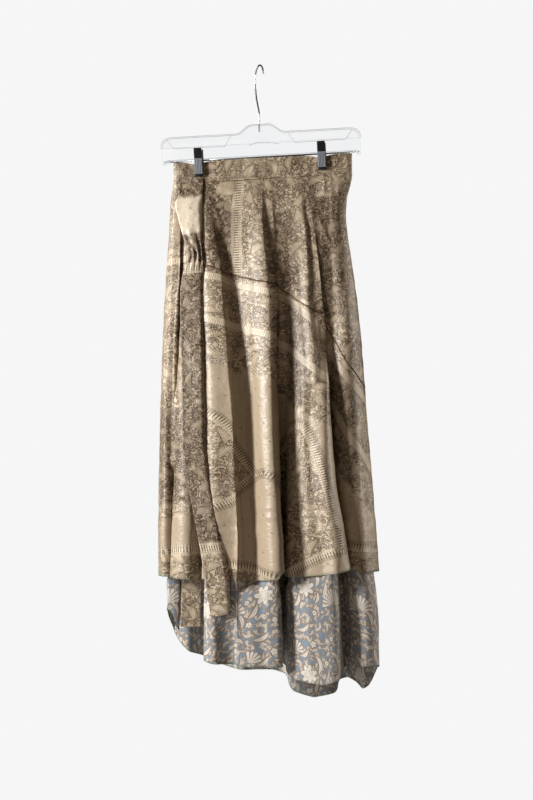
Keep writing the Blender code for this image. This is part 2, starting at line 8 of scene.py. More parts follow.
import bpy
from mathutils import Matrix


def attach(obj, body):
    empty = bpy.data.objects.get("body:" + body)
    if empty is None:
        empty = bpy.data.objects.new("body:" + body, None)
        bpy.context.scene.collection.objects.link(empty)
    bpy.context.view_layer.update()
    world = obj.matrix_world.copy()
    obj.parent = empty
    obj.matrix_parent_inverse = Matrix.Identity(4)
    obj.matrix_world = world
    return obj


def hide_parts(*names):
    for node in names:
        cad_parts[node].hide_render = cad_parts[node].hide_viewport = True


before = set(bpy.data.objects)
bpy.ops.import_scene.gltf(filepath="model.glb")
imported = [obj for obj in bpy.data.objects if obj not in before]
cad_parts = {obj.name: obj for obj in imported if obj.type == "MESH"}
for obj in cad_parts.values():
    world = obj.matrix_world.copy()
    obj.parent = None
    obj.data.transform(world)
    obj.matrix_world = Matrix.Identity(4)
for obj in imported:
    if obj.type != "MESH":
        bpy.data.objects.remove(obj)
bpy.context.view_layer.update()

import logging
import math
from collections.abc import Sequence
from dataclasses import dataclass, field
from enum import Enum
from functools import partial, reduce
from typing import NamedTuple

import bmesh
import bpy
import numpy as np
from mathutils import Matrix, Vector

LOG = logging.getLogger("wrap_skirt")
MM = 0.001
BODY = "root"

Array = np.ndarray
Material = bpy.types.Material
Piece = bpy.types.Object
Socket = bpy.types.NodeSocket
Colour = tuple[float, float, float]
Corner = tuple[float, float]
Line = tuple[Corner, ...]

# Hanger sizes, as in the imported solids.
TILT = math.radians(-3.2)
BAR_PIVOT_Z = -119 * MM
BAR_CENTRE_X = 2 * MM
BAR_HALF = 178 * MM
WIRE_RADIUS = 1.5 * MM
HOOK_RADIUS = 19 * MM
HOOK_TURN = math.radians(-68)
ROD_Z = -42.9 * MM
CLIP_X = (-111 * MM, 108 * MM)
CLIP_SKEW = 2.4 * MM

# Cloth sizes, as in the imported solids.
BAND_WALL = 2.4 * MM
BAND_HEIGHT = 38 * MM
BAND_TOP_Z = -164.0 * MM
BAND_SLOPE = math.tan(-TILT)
BAND_DIP = 4.5 * MM
BAND_DIP_REACH = 16 * MM
LAYER_OFFSET = 0.7 * MM
LAYER_EASE = 2.4 * MM
LAYER_EASE_BY = 0.15
WALL = 1.0 * MM
SEAM_GAP = 0.35 * MM
THIGH = 0.4
DEPTH_POWER = 0.75
COLUMN = 1 / 3
MITRE_LEAST = 0.6
BELOW_SPREAD = 0.3
CINCH = 15 * MM
CINCH_AT = 0.12
CINCH_FROM_X = 60 * MM
CINCH_TO_X = 165 * MM
UNDER_SEAM = 1.45

# How much closer to the leg the right side hangs, by shares of the drop, and from which x on.
DRAWN_IN = 15 * MM
DRAWN_DROPS = (-0.02, 0.05, 0.3, 0.5, 0.8, 1.0, 1.12)
DRAWN_SHARES = (0.0, 0.4, 0.8, 0.95, 0.85, 0.4, 0.0)
DRAWN_FROM_X = 95 * MM
DRAWN_OVER = 95 * MM
# The silk's own thickness as it is drawn, and the size of its mesh's cells.
SILK_THICK = 0.45 * MM
CELL = 3.0 * MM
# The drop over which the broad folds rise to their full height.
SWELL_RISE = 220 * MM
# How round the folds' crests are, as a share of their width.
SWELL_ROUND = 0.15
# How far the underskirt draws in behind the overskirt.
UNDER_INSET = 2.5 * MM
# The row and the rows over which the underskirt's hem takes its own folds.
SHOWN_ROW = 2.0
SHOWN_OVER = 0.14
# The depth that a trough may have: a share of the cloth's own, and a little more.
ROOM_SHARE = 0.5
ROOM_LEAST = 0.4 * MM
# At a cross seam the lower cloth is tucked in and the upper one stands out, over a short drop.
SEAM_TUCK = 1.6 * MM
SEAM_LIP = 0.6 * MM
SEAM_OVER = 3 * MM
# Rows of the mesh beside each seam and hem.
EDGE_ROWS = (0.8 * MM, 1.7 * MM, 2.8 * MM)
# What lies next to no border or seam is this far from it.
FAR = 0.5


class Slot(Enum):
    """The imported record's material slots."""

    SILK = "silk"
    BAND = "band"
    PRINT = "print"
    CLEAR = "clear_plastic"
    STEEL = "steel"
    GRIP = "grip"


class Fold(NamedTuple):
    """One fold of the wrap, in millimetres and shares of the drop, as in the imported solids."""

    name: str
    waist_x: float
    waist_y: float
    thigh_x: float
    hem_x: float
    hem_y: float
    hem_z: float
    under_z: float
    seam: float = 0.54
    late: float = 0
    pull: float = 0


FOLDS = (
    Fold("free_edge", -108, -3.1, -102, -97, -50, -907, -1048, 0.205),
    Fold("lap_ridge", -92, -3.1, -84, -78, -66, -908, -1052, 0.215),
    Fold("lap_valley", -66, -5.0, -46, -40, -42, -909, -1055, 0.235),
    Fold("centre_ridge", -18, -6.0, 0, 4, -66, -909, -1057, 0.255),
    Fold("fold_edge", 0, -6.0, 22, 34, -63, -904, -1057, 0.265),
    Fold("tuck_left", 6, -5.6, 20, 26, -26, -903, -1058, 0.266, late=36),
    Fold("tuck_foot", 12, -5.4, 27, 35, 28, -903, -1062, 0.268, late=88),
    Fold("tuck_right", 18, -5.4, 36, 46, 10, -903, -1066, 0.27, late=65),
    Fold("panel_left", 26, -5.4, 41, 50.5, -42, -903, -1074, 0.277),
    Fold("panel_rise", 42, -5.4, 56, 74, -60, -902, -1083, 0.295),
    Fold("panel_ridge", 66, -4.6, 79, 116, -72, -897, -1086, 0.322, pull=-5),
    Fold("panel_edge", 84, -3.4, 99, 157, -60, -888, -1077, 0.345, pull=-19),
    Fold("edge_tuck", 102, -3.1, 113, 146, -14, -890, -1066, 0.362, late=18),
    Fold("side_left", 117, -3.1, 136, 163, -40, -893, -1060, 0.41),
    Fold("side_ridge", 138, -3.1, 163, 187, -52, -895, -1058, 0.475, pull=-1),
    Fold("side_slope", 156, -2.6, 183, 206, -32, -896, -1062, 0.515, pull=-2),
    Fold("right_side", 165, 0.6, 194, 215, -4, -897, -1068, pull=-4),
    Fold("back_right_fold", 154, 4.4, 178, 203, 24, -903, -1098, pull=-2),
    Fold("right_box", 146, 4.4, 168, 187, 27, -908, -1114),
    Fold("right_box_wall", 140, 4.2, 160, 177, 60, -912, -1108),
    Fold("back_ridge_a", 128, 3.6, 146, 160, 70, -914, -1101),
    Fold("mid_box_wall_r", 114, 3.1, 131, 142, 60, -915, -1104),
    Fold("mid_box_right", 106, 3.1, 121, 132, 26, -917, -1120),
    Fold("mid_box", 80, 4.0, 92, 97, 19, -918, -1127),
    Fold("mid_box_left", 50, 5.2, 58, 62, 26, -917, -1116),
    Fold("mid_box_wall_l", 42, 5.4, 49, 51, 60, -915, -1094),
    Fold("back_ridge_b", 20, 5.8, 25, 27, 72, -914, -1088),
    Fold("back_slope", -6, 6.0, -5, -2, 56, -914, -1084),
    Fold("back_valley_a", -34, 5.8, -36, -36, 36, -915, -1080),
    Fold("back_ridge_c", -72, 4.6, -78, -78, 66, -914, -1072),
    Fold("back_ridge_d", -92, 3.1, -98, -101, 68, -913, -1062),
    Fold("back_valley_b", -116, 3.1, -126, -128, 40, -912, -1048),
    Fold("back_ridge_e", -136, 4.2, -151, -157, 56, -911, -1012, pull=2),
    Fold("back_left_fold", -148, 3.8, -165, -172, 38, -910, -985, pull=6),
    Fold("left_side", -152, 0.4, -170, -177, 14, -908, -966, pull=9),
    Fold("side_ridge_left", -146, -3.2, -161, -166, -24, -904, -965, pull=4),
    Fold("side_valley_left", -134, -2.8, -142, -151, -16, -904, -985),
    Fold("lap_side_left", -130, -2.4, -138, -153, -40, -905, -995),
    Fold("lap_side_ridge", -122, -1.6, -124, -131, -54, -907, -1000),
    Fold("lap_side_right", -112, 0.0, -108, -108, -44, -909, -1004),
    Fold("lap_under", -99, 0.0, -92, -86, -30, -909, -1008),
    Fold("inner_edge", -82, 0.0, -66, -48, -30, -909, -1010),
)

# The underskirt's narrow end lies closer in: the thigh_x, hem_x, hem_y and under_z of its folds.
CLOSER = (
    (-158, -164, -8, -965), (-150, -159, -11, -968), (-143, -154, -11, -975), (-135, -150, -11, -985),
    (-126, -146, -10, -993), (-116, -142, -9, -1000), (-104, -138, -7, -1003),
)
UNDER_SIDE = (FOLDS[-8], *(
    fold._replace(thigh_x=thigh_x, hem_x=hem_x, hem_y=hem_y, under_z=under_z, pull=0)
    for fold, (thigh_x, hem_x, hem_y, under_z) in zip(FOLDS[-7:], CLOSER)
))


class Section(NamedTuple):
    """A level of a hanging tie, in millimetres: its edges and how far it stands off."""

    z: float
    left: float
    right: float
    off: float


OUTER_TIE = (
    Section(-199, -118, -100, 3.1),
    Section(-206, -124, -99, 3.4),
    Section(-214, -130, -99, 3.8),
    Section(-232, -142, -100, 4.6),
    Section(-247, -149, -101, 5.2),
    Section(-270, -144, -101, 6.0),
    Section(-297, -137, -101, 7.5),
    Section(-320, -130, -101, 9.0),
    Section(-337, -123, -101, 10.0),
    Section(-352, -127, -99, 8.5),
    Section(-370, -134, -98, 6.0),
    Section(-392, -138, -98, 4.0),
    Section(-440, -139, -97, 3.0),
    Section(-506, -137, -95, 3.0),
    Section(-595, -135, -94, 3.0),
    Section(-665, -134, -92, 3.0),
    Section(-703, -130, -88, 3.0),
    Section(-742, -124, -82, 3.0),
    Section(-787, -115, -74, 3.0),
    Section(-845, -104, -62, 3.0),
    Section(-905, -94, -52, 3.0),
    Section(-938, -89, -51, 3.0),
    Section(-968, -83, -49, 3.0),
)
INNER_TIE = (
    Section(-169, -81.4, -58, 0),
    Section(-206, -81, -46, 0.2),
    Section(-222, -81.4, -46, 1.0),
    Section(-300, -88, -52, 1),
    Section(-450, -98, -62, -2),
    Section(-620, -113, -77, -6),
    Section(-800, -128, -92, -10),
    Section(-920, -137, -101, -12),
    Section(-996, -139, -103, -12),
)


class Crease(NamedTuple):
    """A soft ridge, or a trough if its height is below 0, along a line of a flat cut, in mm."""

    width: float
    height: float
    line: Line


class Swell(NamedTuple):
    """A broad fold along a line, in mm: it rises over one width and falls over the other.

    Its heights stand at even steps along the line, from its head to its foot.
    """

    heights: tuple[float, ...]
    left: float
    right: float
    line: Line
    sag: float = 1.3


def spline(before: Array, start: Array, end: Array, after: Array, share: Array) -> Array:
    """Catmull-Rom interpolation from start to end, with their neighbours."""
    square, cube = share * share, share * share * share
    return 0.5 * (
        2 * start
        + (end - before) * share
        + (2 * before - 5 * start + 4 * end - after) * square
        + (3 * start - before - 3 * end + after) * cube
    )


def smoothed(values: Array, spots: Array) -> Array:
    """A column of numbers, read smoothly at spots between them."""
    low = np.clip(spots.astype(int), 0, len(values) - 2)
    ends = [values[np.clip(low + step, 0, len(values) - 1)] for step in (-1, 0, 1, 2)]
    return spline(*ends, spots - low)


def unit(vectors: Array) -> Array:
    """The vectors of an array's last axis at length 1."""
    return vectors / np.maximum(np.linalg.norm(vectors, axis=-1, keepdims=True), 1e-12)


class Wrap:
    """The cloth's form: the folds, and the surface that runs through them."""

    def __init__(self, folds: Sequence[Fold]) -> None:
        """Keeps the table of folds as one array for each of its columns."""
        self.last = len(folds) - 1
        self.index = {fold.name: number for number, fold in enumerate(folds)}
        self.columns = {
            name: np.array([getattr(fold, name) for fold in folds], float)
            for name in Fold._fields[1:]
        }

    def value(self, name: str, place: Array) -> Array:
        """A column of the table at places between the folds."""
        return np.interp(place, np.arange(self.last + 1), self.columns[name])

    def fold_point(self, number: Array, drop: Array, pulled: bool) -> Array:
        """Plan position of folds at shares of the drop.

        Args:
            number: the folds' numbers.
            drop: the share of the overskirt's drop, 0 at the waist.
            pulled: whether the underskirt's own sideways shift is added.

        Returns:
            The x and y of each.
        """
        at = {name: column[np.clip(number, 0, self.last)] for name, column in self.columns.items()}
        share = np.minimum(drop, 1)
        x = (
            at["waist_x"] * (share - THIGH) * (share - 1) / THIGH
            + at["thigh_x"] * share * (share - 1) / (THIGH * (THIGH - 1))
            + at["hem_x"] * share * (share - THIGH) / (1 - THIGH)
        )
        x = x + BELOW_SPREAD * (drop - share) * (at["hem_x"] - at["thigh_x"]) / (1 - THIGH)
        x = x + pulled * at["pull"] * drop
        early = at["hem_y"] - at["late"] - at["waist_y"]
        opened = np.where(drop <= 1, np.maximum(drop, 0) ** DEPTH_POWER, 1 + DEPTH_POWER * (drop - 1))
        y = at["waist_y"] + early * opened + at["late"] * share**2
        reach = np.clip((at["waist_x"] * MM - CINCH_FROM_X) / (CINCH_TO_X - CINCH_FROM_X), 0, 1)
        pull = drop / CINCH_AT * np.exp(1 - drop / CINCH_AT)
        return np.stack([x * MM - CINCH * reach * pull * pull, y * MM], axis=-1)

    def plan(self, place: Array, drop: Array, pulled: bool = False) -> Array:
        """Plan position of the cloth at places along the folds."""
        low = np.clip(np.floor(place).astype(int), 0, self.last - 1)
        points = [self.fold_point(low + step, drop, pulled) for step in (-1, 0, 1, 2)]
        return spline(*points, (place - low)[..., None])

    def stand_off(self, place: Array, drop: Array, distance: Array, pulled: bool = False) -> Array:
        """Plan position of a surface that runs a distance outside the folds, mitred at turns."""
        here = self.plan(place, drop, pulled)
        before = here - self.plan(place - COLUMN, drop, pulled)
        after = self.plan(place + COLUMN, drop, pulled) - here
        at_start = (place - COLUMN < 0)[..., None]
        at_end = (place + COLUMN > self.last)[..., None]
        before, after = np.where(at_start, after, before), np.where(at_end, before, after)
        first = unit(np.stack([before[..., 1], -before[..., 0]], axis=-1))
        second = unit(np.stack([after[..., 1], -after[..., 0]], axis=-1))
        meet = np.maximum(1 + (first * second).sum(axis=-1, keepdims=True), MITRE_LEAST)
        return here + (first + second) / meet * np.asarray(distance)[..., None]

    def waist_z(self, place: Array) -> Array:
        """Height of the cloth's top edge, just under the band."""
        return band_foot(self.value("waist_x", place) * MM) - SEAM_GAP

    def height(self, place: Array, drop: Array) -> Array:
        """Height of the cloth at shares of the drop."""
        top = self.waist_z(place)
        return top + (self.value("hem_z", place) * MM - top) * drop

    def drop_of(self, place: Array, row: Array) -> Array:
        """The drop at rows: 0 waist, 1 cross seam, 2 overskirt's hem, 3 underskirt's hem."""
        seam = self.value("seam", place)
        top = self.waist_z(place)
        span = (self.value("under_z", place) * MM - top) / (self.value("hem_z", place) * MM - top)
        upper = seam * row
        lower = seam + (1 - seam) * (row - 1)
        below = 1 + (span - 1) * (row - 2)
        return np.where(row <= 1, upper, np.where(row <= 2, lower, below))


def band_foot(x: Array) -> Array:
    """Height of the waistband's lower edge."""
    return BAND_TOP_Z - BAND_HEIGHT + BAND_SLOPE * x


def band_top(x: Array) -> Array:
    """Height of the waistband's upper edge, pressed down where a clip holds it."""
    dip = sum(np.exp(-(((x - clip) / BAND_DIP_REACH) ** 2)) for clip in CLIP_X)
    return BAND_TOP_Z + BAND_SLOPE * x - BAND_DIP * np.minimum(dip, 1)


WRAP = Wrap(FOLDS)
SIDE_WRAP = Wrap(UNDER_SIDE)


class Cut:
    """A flared panel laid flat: a sector of a ring, u across and v up from the waist's middle."""

    DROPS = np.linspace(-0.02, 1.4, 72)
    STEPS = 8

    def __init__(self, wrap: Wrap, first: int, last: int) -> None:
        """Measures the cloth along every level between two folds.

        Args:
            wrap: the form that the panel lies on.
            first: the number of the fold at the panel's first edge.
            last: the number of the fold at its last edge.
        """
        self.wrap, self.first, self.last = wrap, first, last
        self.places = np.linspace(first, last, self.STEPS * (last - first) + 1)
        grid = np.meshgrid(self.places, self.DROPS)
        steps = np.linalg.norm(np.diff(wrap.plan(*grid), axis=1), axis=-1)
        along = np.concatenate([np.zeros((len(self.DROPS), 1)), np.cumsum(steps, axis=1)], axis=1)
        self.along = along - along[:, -1:] / 2
        self.waist = np.interp(0.04, self.DROPS, along[:, -1])
        self.hem = np.interp(1, self.DROPS, along[:, -1])
        middle = np.array((first + last) / 2)
        self.length = float(wrap.waist_z(middle) - wrap.value("hem_z", middle) * MM)
        self.radius = self.waist * self.length / (self.hem - self.waist)

    def spot(self, place: Array, drop: Array) -> Array:
        """Flat u and v, in metres, of places and drops of the hung cloth."""
        column = np.clip((place - self.first) * self.STEPS, 0, len(self.places) - 1.001)
        row = np.interp(drop, self.DROPS, np.arange(len(self.DROPS)))
        row = np.clip(row, 0, len(self.DROPS) - 1.001)
        left, top = column.astype(int), row.astype(int)
        across, down = column - left, row - top
        upper, lower = (
            self.along[level, left] * (1 - across) + self.along[level, left + 1] * across
            for level in (top, top + 1)
        )
        arc = upper * (1 - down) + lower * down
        reach = self.radius + self.wrap.waist_z(place) - self.wrap.height(place, drop)
        turn = arc / reach
        return np.stack([reach * np.sin(turn), self.radius - reach * np.cos(turn)], axis=-1)

    def even_places(self, cell: float, drop: float = 0.8) -> Array:
        """Places a cell apart along the cloth, from the panel's first edge to its last."""
        along = self.along[np.searchsorted(self.DROPS, drop)]
        count = max(2, round((along[-1] - along[0]) / cell))
        return np.interp(np.linspace(along[0], along[-1], count + 1), along, self.places)


FRONT_CUT = Cut(WRAP, WRAP.index["free_edge"], WRAP.index["right_side"])
BACK_CUT = Cut(WRAP, WRAP.index["right_side"], WRAP.index["left_side"])
SIDE_CUT = Cut(WRAP, WRAP.index["left_side"], WRAP.index["inner_edge"])
UNDER_SIDE_CUT = Cut(SIDE_WRAP, 0, SIDE_WRAP.last)


class Reading(NamedTuple):
    """Where points lie beside a line, in metres: how far off it, on its right, how far along."""

    away: Array
    right: Array
    travelled: Array
    length: float


def beside(spots: Array, line: Line) -> Reading:
    """Reads points against a bent line.

    Args:
        spots: flat u and v of each point, in metres.
        line: the line's corners on the flat cut, in mm.

    Returns:
        Each point's distance from the line and its way along it.
    """
    corners = np.array(line) * MM
    best = np.full(spots.shape[:-1], np.inf)
    right = np.zeros(spots.shape[:-1], bool)
    travelled = np.zeros_like(best)
    start = 0.0
    for first, second in zip(corners[:-1], corners[1:]):
        step = second - first
        length = float(np.linalg.norm(step))
        share = np.clip(((spots - first) @ step) / length**2, 0, 1)
        away = np.linalg.norm(spots - first - share[..., None] * step, axis=-1)
        nearer = away < best
        best = np.where(nearer, away, best)
        cross = step[0] * (spots - first)[..., 1] - step[1] * (spots - first)[..., 0]
        right = np.where(nearer, cross > 0, right)
        travelled = np.where(nearer, start + share * length, travelled)
        start += length
    return Reading(best, right, travelled, start)


def within(spots: Array, outline: Line, soft: float = 2.5 * MM) -> Array:
    """1 inside a closed outline and 0 outside it, with a soft edge."""
    corners = np.array(outline) * MM
    inside = np.zeros(spots.shape[:-1], bool)
    for first, second in zip(corners, np.roll(corners, -1, axis=0)):
        spans = (first[1] > spots[..., 1]) != (second[1] > spots[..., 1])
        rise = second[1] - first[1] or 1e-9
        cross = first[0] + (spots[..., 1] - first[1]) * (second[0] - first[0]) / rise
        inside ^= spans & (spots[..., 0] < cross)
    away = beside(spots, (*outline, outline[0])).away
    return np.clip(0.5 + np.where(inside, away, -away) / (2 * soft), 0, 1)


class Chart(NamedTuple):
    """Where the parts of the silk's print lie on a flat cut, in mm."""

    plain: tuple[Line, ...] = ()
    # Fields of denser print that also carry painted shade over the folds' valleys and the tie's knot.
    deep: tuple[Line, ...] = ()
    combs: tuple[Line, ...] = ()
    hatches: tuple[Line, ...] = ()

    def read(self, spots: Array) -> dict[str, Array]:
        """What the print needs to know at each point of a sheet.

        Args:
            spots: flat u and v of each point, in metres.

        Returns:
            The distance from the nearest comb and hatched border and the way along it, and how
            far the point is in a plain field, or in a field of dense print with painted shade.
        """
        found = {}
        for name, lines in (("comb", self.combs), ("hatch", self.hatches)):
            away = np.full(spots.shape[:-1], FAR)
            way = np.zeros_like(away)
            for line in lines:
                reading = beside(spots, line)
                nearer = reading.away < away
                away = np.where(nearer, reading.away, away)
                way = np.where(nearer, reading.travelled, way)
            found[name] = np.stack([away, way], axis=-1)
        for name, outlines in (("plain", self.plain), ("deep", self.deep)):
            shares = [within(spots, outline) for outline in outlines]
            found[name] = np.max([np.zeros(spots.shape[:-1]), *shares], axis=0)
        return found


def relief(spots: Array, creases: Sequence[Crease | Swell]) -> Array:
    """The height that creases give the cloth, in metres.

    Args:
        spots: flat u and v of each point, in metres.
        creases: the ridges and troughs of that panel.

    Returns:
        How far each point moves outward.
    """
    height = np.zeros(spots.shape[:-1])
    for crease in creases:
        reading = beside(spots, crease.line)
        if isinstance(crease, Swell):
            width = np.where(reading.right, crease.right, crease.left) * MM
            tent = 1 - np.sqrt(np.clip(reading.away / width, 0, 1) ** 2 + SWELL_ROUND**2)
            tent = np.clip(tent + SWELL_ROUND, 0, 1)
            curve = tent ** np.where(reading.right, 1.3, crease.sag)
            rise = np.clip(reading.travelled / SWELL_RISE, 0, 1)
            marks = np.linspace(0, reading.length, len(crease.heights))
            tall = np.interp(reading.travelled, marks, crease.heights) * MM
            height += tall * curve * rise * (2 - rise)
            continue
        share = reading.travelled / reading.length
        fade = np.clip(share * 4, 0, 1) * np.clip((1 - share) * 4, 0, 1)
        off = reading.away / (crease.width * MM)
        height += crease.height * MM * np.sqrt(fade) * np.exp(0.3 - np.sqrt(off**2 + 0.09))
    return height


def distances(points: Array) -> Array:
    """How far along its line each point lies."""
    return np.concatenate([[0], np.cumsum(np.linalg.norm(np.diff(points, axis=0), axis=1))])


def read_at(values: Array, along: Array, stops: Array) -> Array:
    """Values that a line's points have, read at stops along it."""
    return np.stack([np.interp(stops, along, column) for column in values.T], axis=1)


def rumple(spots: Array, size: float, height: float, seed: int) -> Array:
    """A low uneven waviness over the cloth, the same each run.

    Args:
        spots: flat u and v of each point, in metres.
        size: the usual distance from wave to wave, in metres.
        height: the usual height, in metres.
        seed: which of the many wavy surfaces it is.

    Returns:
        How far each point moves outward.
    """
    draw = np.random.default_rng(seed)
    total = np.zeros(spots.shape[:-1])
    count = 18
    for _ in range(count):
        angle, phase = draw.uniform(0, math.pi), draw.uniform(0, 2 * math.pi)
        wave = 2 * math.pi / (size * draw.uniform(0.6, 1.8))
        way = np.array([math.cos(angle), 0.7 * math.sin(angle)])
        total += np.sin(spots @ way * wave + phase)
    return total * height / math.sqrt(count / 2)


# ---- shader graph


class Field:
    """A number that varies over a surface, as a shader node's output."""

    def __init__(self, graph: "Graph", socket: Socket) -> None:
        """Keeps the output and the graph that it is in."""
        self.graph, self.socket = graph, socket

    def __add__(self, other: "Number") -> "Field":
        """The sum."""
        return self.graph.math("ADD", self, other)

    def __sub__(self, other: "Number") -> "Field":
        """The difference."""
        return self.graph.math("SUBTRACT", self, other)

    def __rsub__(self, other: float) -> "Field":
        """The difference from a number."""
        return self.graph.math("SUBTRACT", other, self)

    def __mul__(self, other: "Number") -> "Field":
        """The product."""
        return self.graph.math("MULTIPLY", self, other)

    def abs(self) -> "Field":
        """The number without its sign."""
        return self.graph.math("ABSOLUTE", self)


Number = Field | float
Value = Field | Socket | float | tuple


class Graph:
    """A material's shader nodes, made from expressions."""

    def __init__(self, name: str) -> None:
        """Starts a material of that name with one principled shader."""
        self.material = bpy.data.materials.new(name)
        self.material.use_nodes = True
        self.tree = self.material.node_tree
        self.shader = self.tree.nodes["Principled BSDF"]

    def put(self, socket: Socket, value: Value) -> None:
        """Links a field or an output to a socket, or sets its constant."""
        if isinstance(value, Field):
            value = value.socket
        if isinstance(value, Socket):
            self.tree.links.new(value, socket)
        else:
            socket.default_value = value

    def node(
        self, kind: str, inputs: dict[str | int, Value] | None = None, **settings: str
    ) -> bpy.types.Node:
        """Adds a shader node.

        Args:
            kind: its type.
            inputs: what goes into its inputs, by name or number.
            settings: its own settings.

        Returns:
            The node.
        """
        made = self.tree.nodes.new(kind)
        for name, value in settings.items():
            setattr(made, name, value)
        for name, value in (inputs or {}).items():
            self.put(made.inputs[name], value)
        return made

    def finished(self, inputs: dict[str, Value]) -> Material:
        """The material, with these inputs of its principled shader set."""
        for name, value in inputs.items():
            self.put(self.shader.inputs[name], value)
        return self.material

    def math(self, operation: str, *values: Number) -> Field:
        """A Math node on up to three values."""
        node = self.node("ShaderNodeMath", dict(enumerate(values)), operation=operation)
        return Field(self, node.outputs[0])

    def vector(self, operation: str, *values: Value) -> Socket:
        """A Vector Math node's vector."""
        node = self.node("ShaderNodeVectorMath", dict(enumerate(values)), operation=operation)
        return node.outputs[0]

    def least(self, *values: Number) -> Number:
        """The least of several values."""
        return reduce(partial(self.math, "MINIMUM"), values)

    def most(self, *values: Number) -> Number:
        """The greatest of several values."""
        return reduce(partial(self.math, "MAXIMUM"), values)

    def inside(self, distance: Field, soft: float, edge: float = 0.0) -> Field:
        """1 where a distance is under the edge and 0 over it, with a soft step between."""
        span = {"Value": distance, "From Min": edge + soft, "From Max": edge - soft}
        node = self.node("ShaderNodeMapRange", span, interpolation_type="SMOOTHSTEP")
        return Field(self, node.outputs[0])

    def flat(self, layer: str = "cut") -> Socket:
        """The piece's own flat u and v, or another of its maps."""
        return self.node("ShaderNodeUVMap", uv_map=layer).outputs[0]

    def layer(self, name: str) -> Field:
        """A number kept at the piece's points."""
        return Field(self, self.node("ShaderNodeAttribute", attribute_name=name).outputs["Fac"])

    def place(self) -> Socket:
        """The point's own place."""
        return self.node("ShaderNodeTexCoord").outputs["Object"]

    def axes(self, vector: Socket) -> tuple[Field, Field]:
        """A vector's first two numbers."""
        node = self.node("ShaderNodeSeparateXYZ", {0: vector})
        return Field(self, node.outputs[0]), Field(self, node.outputs[1])

    def reach(self, spot: Socket) -> Field:
        """The distance from the origin."""
        x, y = self.axes(spot)
        return self.math("SQRT", x * x + y * y)

    def turn(self, spot: Socket) -> Field:
        """The angle about the origin, from the x axis."""
        x, y = self.axes(spot)
        return self.math("ARCTAN2", y, x)

    def scaled(self, vector: Socket, factor: float) -> Socket:
        """A vector made longer by a factor."""
        inputs = {0: vector, "Scale": factor}
        return self.node("ShaderNodeVectorMath", inputs, operation="SCALE").outputs[0]

    def turned(self, vector: Socket, angle: Number) -> Socket:
        """A flat vector turned by an angle in radians."""
        inputs = {"Vector": vector, "Angle": angle}
        return self.node("ShaderNodeVectorRotate", inputs, rotation_type="Z_AXIS").outputs[0]

    def around(
        self, vector: Socket, centre: Corner, angle: float = 0.0, every: Corner | None = None
    ) -> Socket:
        """Coordinates about a centre, turned, and repeated at an even distance if asked.

        Args:
            vector: the flat coordinates.
            centre: where the new origin lies.
            angle: how far a motif is turned, in degrees.
            every: the width and height of the repeat, or None.

        Returns:
            The new coordinates.
        """
        found = self.vector("SUBTRACT", vector, (*centre, 0.0))
        if every:
            half = (every[0] / 2, every[1] / 2, 1.0)
            found = self.vector("WRAP", found, half, tuple(-side for side in half))
        return self.turned(found, math.radians(-angle)) if angle else found

    def noise(self, vector: Socket, scale: float, detail: float) -> Field:
        """Noise from 0 to 1."""
        inputs = {"Vector": vector, "Scale": scale, "Detail": detail}
        return Field(self, self.node("ShaderNodeTexNoise", inputs).outputs[0])

    def mix(self, share: Number, first: Value, second: Value) -> Socket:
        """A colour between two colours."""
        ends = [(*tone, 1.0) if isinstance(tone, tuple) else tone for tone in (first, second)]
        node = self.node("ShaderNodeMix", {0: share, 6: ends[0], 7: ends[1]}, data_type="RGBA")
        return node.outputs[2]

    def bump(self, height: Field, strength: float, distance: float) -> Socket:
        """The normal of a fine relief."""
        inputs = {"Strength": strength, "Distance": distance, "Height": height}
        return self.node("ShaderNodeBump", inputs).outputs[0]

    def rosette(self, spot: Socket, radius: float, petals: int, depth: float) -> Field:
        """The distance outside a flower of round petals about the origin."""
        lobe = self.math("COSINE", self.turn(spot) * (petals / 2)).abs()
        return self.reach(spot) - (lobe * (radius * depth) + radius * (1 - depth))

    def leaf(self, spot: Socket, length: float, width: float, bend: float) -> tuple[Field, Field]:
        """A bent leaf about the origin.

        Args:
            spot: coordinates about the leaf's middle, x along it.
            length: half its length.
            width: half its width.
            bend: how strongly its line bends.

        Returns:
            The distance outside it, and that from its middle line.
        """
        x, y = self.axes(spot)
        square = x * x
        off = self.math("MULTIPLY_ADD", square, -bend, y).abs()
        return off - self.math("MULTIPLY_ADD", square, -width / length**2, width), off

    def fan(self, spot: Socket, radius: float, rays: int, sweep: float) -> Field:
        """The distance outside a fan of long petals that spread upward from the origin.

        Args:
            spot: coordinates about the fan's foot.
            radius: the length of its longest petals.
            rays: the number of petals.
            sweep: how far it spreads to each side, in radians.

        Returns:
            The distance.
        """
        x, y = self.axes(spot)
        reach = self.reach(spot)
        turn = self.math("ARCTAN2", x, y)
        lobe = self.math("COSINE", turn * (rays * math.pi / (2 * sweep))).abs()
        edge = lobe * (radius * 0.22) + radius * 0.78
        gap = (0.42 - lobe) * (reach * (2 * sweep / rays))
        return self.most(reach - edge, gap, turn.abs() * radius - sweep * radius)

    def scattered(self, flat: Socket, size: float, shift: float = 0.0) -> tuple[Socket, Field]:
        """Coordinates about the middle of scattered cells, each turned its own way.

        Args:
            flat: the flat coordinates.
            size: the cells' usual width, in metres, which is 1 in the new coordinates.
            shift: moves the cells, so that another layer lies differently.

        Returns:
            The coordinates, and a number from 0 to 1 for each cell.
        """
        scaled = self.scaled(self.vector("ADD", flat, (shift, shift, 0.0)), 1 / size)
        pattern = {"Vector": scaled, "Scale": 1.0, "Randomness": 0.75}
        cells = self.node("ShaderNodeTexVoronoi", pattern, voronoi_dimensions="2D")
        own, other = self.axes(cells.outputs["Color"])
        spot = self.vector("SUBTRACT", scaled, cells.outputs["Position"])
        return self.turned(spot, own * (2 * math.pi)), other


# ---- finishes


